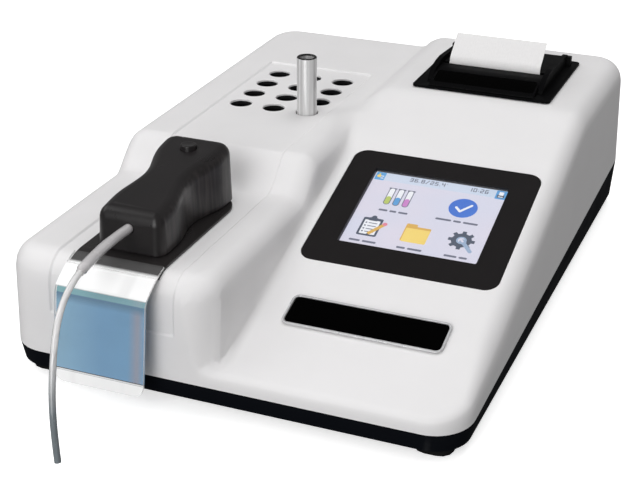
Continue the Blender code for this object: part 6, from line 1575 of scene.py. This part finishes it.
def add_glyphs(name, colour, level, outlines):
    """Lit flat shapes of one colour on one layer of the screen."""
    low = BACKDROP_HIGH + LAYER * level
    place = (console_frame(DISPLAY_X, DISPLAY_Y)
             @ Matrix.Translation((GAP - SCREEN_WIDTH / 2, SCREEN_SHIFT - SCREEN_LENGTH / 2, 0))
             @ Matrix.Scale(MM, 4))
    limit = PICTURE_HEIGHT - GAP / MM
    lift = 0 if level < 0 else PICTURE_LIFT
    shapes = [prism([(x, min(y + lift, limit)) for x, y in outline], low, low + LAYER_THICKNESS, place)
              for outline in outlines]
    add_piece(name, f"screen_{colour}", merged(shapes), "base")


def make_screen():
    """Start page of the analyzer: top bar, icons, numbers, and dashes in place of words.

    The icons are three tubes, a tick, a clipboard, a folder, and a gear with a wrench.
    """
    margin = GAP / MM
    tubes = {"lime": 12.7, "sky": 18.1, "violet": 23.6}
    wide, low, high, fill = 3.9, 35.5, 50.3, 42.6
    lines = (18.2, 15.7, 13.2, 10.8)
    captions = ((12.4, 30.5, (5.2, 4, 5.4)), (45.5, 30.9, (9, 4.4, 8.4)), (4.8, 2.9, (6.4, 8)),
                (32.2, 2.9, (5, 8.2)), (59, 2.9, (7.2, 4.6)))
    glyphs = [
        ("screen_backdrop", "backdrop", (BACKDROP_LOW - BACKDROP_HIGH) / LAYER,
         [bar(margin, margin, PICTURE_WIDTH - margin, PICTURE_HEIGHT - margin)]),
        ("screen_top_bar", "top_bar", 0, [bar(0.5, 55.6, PICTURE_WIDTH - 0.5, PICTURE_HEIGHT)]),
        ("status_left", "sky", 1, [bar(0.8, 55.4, 6.5, 62.2, 0.5)]),
        ("status_left_drop", "yellow", 2, [disc(2.9, 58.8, 1.2), stroke(2.9, 59.1, 2.9, 60.7, 0.8)]),
        ("status_left_mark", "white", 2, [stroke(4.4, y, 5.6, y, 0.6) for y in (57.2, 59)]),
        ("status_right", "sky", 1, [bar(72, 54.9, 78, 62.2, 0.5)]),
        ("status_right_box", "slate", 2, [bar(73, 56.1, 77, 58.8, 0.3)]),
        ("status_right_mark", "white", 3, [bar(73.7, 58.1, 76.3, 61, 0.2), bar(73.6, 56.5, 76.4, 57.1, 0.2)]),
        ("screen_readings", "ink", 1, digits("36.8/25.4o", 21.6, 58.3, 2.7) + digits("10:26", 56.4, 58, 2.7)),
        ("screen_captions", "ink", 0, [outline for caption in captions for outline in dashes(*caption)]),
        ("icon_tube_rims", "ink", 0, [bar(x, low, x + wide, high, 1.9) for x in tubes.values()]
         + [bar(x - 0.4, high - 1, x + wide + 0.4, high, 0.4) for x in tubes.values()]),
        ("icon_tube_glass", "white", 1, [bar(x + 0.5, low + 0.5, x + wide - 0.5, high - 0.6, 1.4)
                                         for x in tubes.values()]),
        *[(f"icon_tube_{colour}", colour, 2, [bar(x + 0.5, low + 0.5, x + wide - 0.5, fill, 1.3)])
          for colour, x in tubes.items()],
        ("icon_disc", "blue", 0, [disc(57.8, 42.7, 8.1)]),
        ("icon_tick", "white", 1, [stroke(53.9, 42.6, 56.8, 39.6, 1.5), stroke(56.8, 39.6, 62.0, 45.8, 1.5)]),
        ("icon_clipboard_back", "slate", 0, [bar(7, 7.5, 18.5, 22.6, 1)]),
        ("icon_clipboard_paper", "white", 1, [bar(8.3, 8.8, 17.2, 20.6, 0.4)]),
        ("icon_clipboard_lines", "ink", 2, [stroke(11.2, y, 15.8, y, 0.6) for y in lines]
         + [bar(9.1, y - 0.5, 10.1, y + 0.5, 0.2) for y in lines]),
        ("icon_clipboard_clip", "slate", 2, [bar(10.2, 20.2, 15.2, 22.9, 0.6), disc(12.7, 23.2, 1.5)]),
        ("icon_pencil", "ochre", 3, [stroke(13.9, 9.8, 19.9, 18.2, 2.3)]),
        ("icon_pencil_end", "pink", 4, [disc(20.3, 18.8, 1.4)]),
        ("icon_pencil_tip", "slate", 4, [stroke(13.0, 8.5, 13.3, 8.9, 0.9)]),
        ("icon_folder_back", "ochre", 0, [bar(32, 8.4, 46.5, 21.2, 0.8), bar(32, 17, 38.4, 23, 0.9)]),
        ("icon_folder_front", "yellow", 1, [bar(32.7, 8, 46.5, 19.4, 0.8)]),
        ("icon_gear", "slate", 0, [gear(64.8, 16.5, 5.7, 7.5, 8)]),
        ("icon_gear_hole", "steel_blue", 1, [disc(64.8, 16.5, 2.9)]),
        ("icon_gear_bore", "backdrop", 2, [disc(64.8, 16.5, 1.9)]),
        ("icon_wrench", "steel_blue", 3, [stroke(66.6, 14.6, 71.8, 8.6, 2.3), disc(65.9, 15.4, 2)]),
        ("icon_wrench_jaw", "backdrop", 4, [stroke(64.6, 16.8, 65.8, 15.5, 1.2)]),
    ]
    for name, colour, level, outlines in glyphs:
        add_glyphs(name, colour, level, outlines)


for name, (colour, second) in SCREEN_COLOURS.items():
    FINISHES[f"screen_{name}"] = glowing(f"screen_{name}", hue(colour), hue(second), SCREEN_STRENGTH)
make_screen()

# Finishes of the carried-over nodes
FEET = "foot_front_left foot_front_right foot_back_left foot_back_right "
SCREWS = ("housing_screw_front_left housing_screw_front_right housing_screw_back_left "
          "housing_screw_back_right ")
NODE_FINISHES = {
    "housing": "top_housing",
    "pan": "base_pan power_switch_rocker fan_frame",
    "printer": "printer_frame printer_door printer_front_cover",
    "gloss": "nameplate_field",
    "rubber": FEET + "platen_roller",
    "cover": "module_cover aspirate_button flow_cell_carrier",
    "plate": "module_plate",
    "bezel": "display_bezel power_inlet serial_socket power_switch_frame",
    "well_black": "incubator_block",
    "grey": "cuvette_socket filter_wheel detector_block button_switch pump_head rear_panel fan_impeller",
    "bright": "nameplate_frame print_head pump_rotor",
    "aluminium": "optics_plate lamp_holder",
    "steel": SCREWS + "door_hinge_pin filter_motor pump_motor power_supply incubator_bracket",
    "board": "main_board display_board",
    "heater": "incubator_heater",
    "paper": "paper_roll paper_web paper_strip",
    "tube": "pump_tube sipper_sleeve sipper_tube",
    "glass": "test_tube lamp_bulb condenser_lens flow_cell",
    "pane": "touch_glass",
    "shield": "splash_shield",
    "tint": "shield_tint",
    "plain_screen": "lcd_panel",
}
SOFTENED = FEET + ("rear_panel power_inlet serial_socket power_switch_frame power_switch_rocker fan_frame "
                   "fan_impeller optics_plate lamp_holder cuvette_socket pump_head incubator_block "
                   "power_supply flow_cell_carrier pump_rotor paper_roll filter_wheel")
SOFTENED_ANGLE = 40

unfinished = dict(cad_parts)
for finish, names in NODE_FINISHES.items():
    for name in names.split():
        materials = unfinished.pop(name).data.materials
        materials.clear()
        materials.append(FINISHES[finish])
if unfinished:
    raise RuntimeError(f"no finish for {sorted(unfinished)}")
for name in SOFTENED.split():
    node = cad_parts[name]
    node.modifiers.new("weld", "WELD").merge_threshold = GAP / 30
    soften(node, SOFT_EDGE / 2, 2, SOFTENED_ANGLE)

# Floor and light
FLOOR_HALF = 6
FLOOR_CLEARANCE = 0.0001
FLOOR_CLOUD_SIZE = 0.4
FLOOR_GLOW = 0.60
WORLD_LIGHT = 0.24
WORLD_SEEN = 0.84
LAMPS = (("front", (-0.3, -2.2, 1.0), 1.6, 10.5), ("front_low", (0.1, -2.2, 0.35), 1.2, 16),
         ("front_top", (-0.3, -1.9, 1.5), 1.0, 7), ("left_top", (-1.6, -0.4, 1.6), 1.4, 11),
         ("right_top", (1.2, 0.2, 2.0), 1.4, 6), ("back_top", (0.1, 0.9, 2.4), 1.4, 24))
NO_GLARE = ("back_top", "right_top")


def make_studio():
    """Pale floor, soft overhead and front light, and a dim surround."""
    floor = plain_object("floor", block((-FLOOR_HALF, -FLOOR_HALF, -1), (FLOOR_HALF, FLOOR_HALF, 0)))
    floor.location.z = FLOOR_Z - ORIGIN.z - FLOOR_CLEARANCE
    material, tree = new_material("floor_pale", (0.93, 0.93, 0.93), 0.9)
    wire(tree, {"Base Color": blended(tree, ranged(tree, noise(tree, FLOOR_CLOUD_SIZE)), (0.92, 0.92, 0.92),
                                      (0.94, 0.94, 0.94)),
                "Emission Color": (1, 1, 1), "Emission Strength": FLOOR_GLOW})
    floor.data.materials.append(material)
    floor.visible_diffuse = False
    floor.visible_glossy = False

    scene = bpy.context.scene
    world = bpy.data.worlds.new("studio")
    world.use_nodes = True
    surround = world.node_tree.nodes["Background"].inputs
    put(world.node_tree, surround["Color"], (1, 1, 1))
    seen = add(world.node_tree, "LightPath", {}, "Is Camera Ray")
    put(world.node_tree, surround["Strength"], ranged(world.node_tree, seen, WORLD_LIGHT, WORLD_SEEN, 0, 1))
    scene.world = world
    scene.view_settings.view_transform = "Standard"

    for name, spot, size, energy in LAMPS:
        data = bpy.data.lights.new(name, "AREA")
        data.size = size
        data.energy = energy
        lamp = bpy.data.objects.new(name, data)
        scene.collection.objects.link(lamp)
        lamp.location = spot
        lamp.visible_glossy = name not in NO_GLARE
        lamp.rotation_mode = "QUATERNION"
        lamp.rotation_quaternion = (-Vector(spot)).to_track_quat("-Z", "Y")


make_studio()
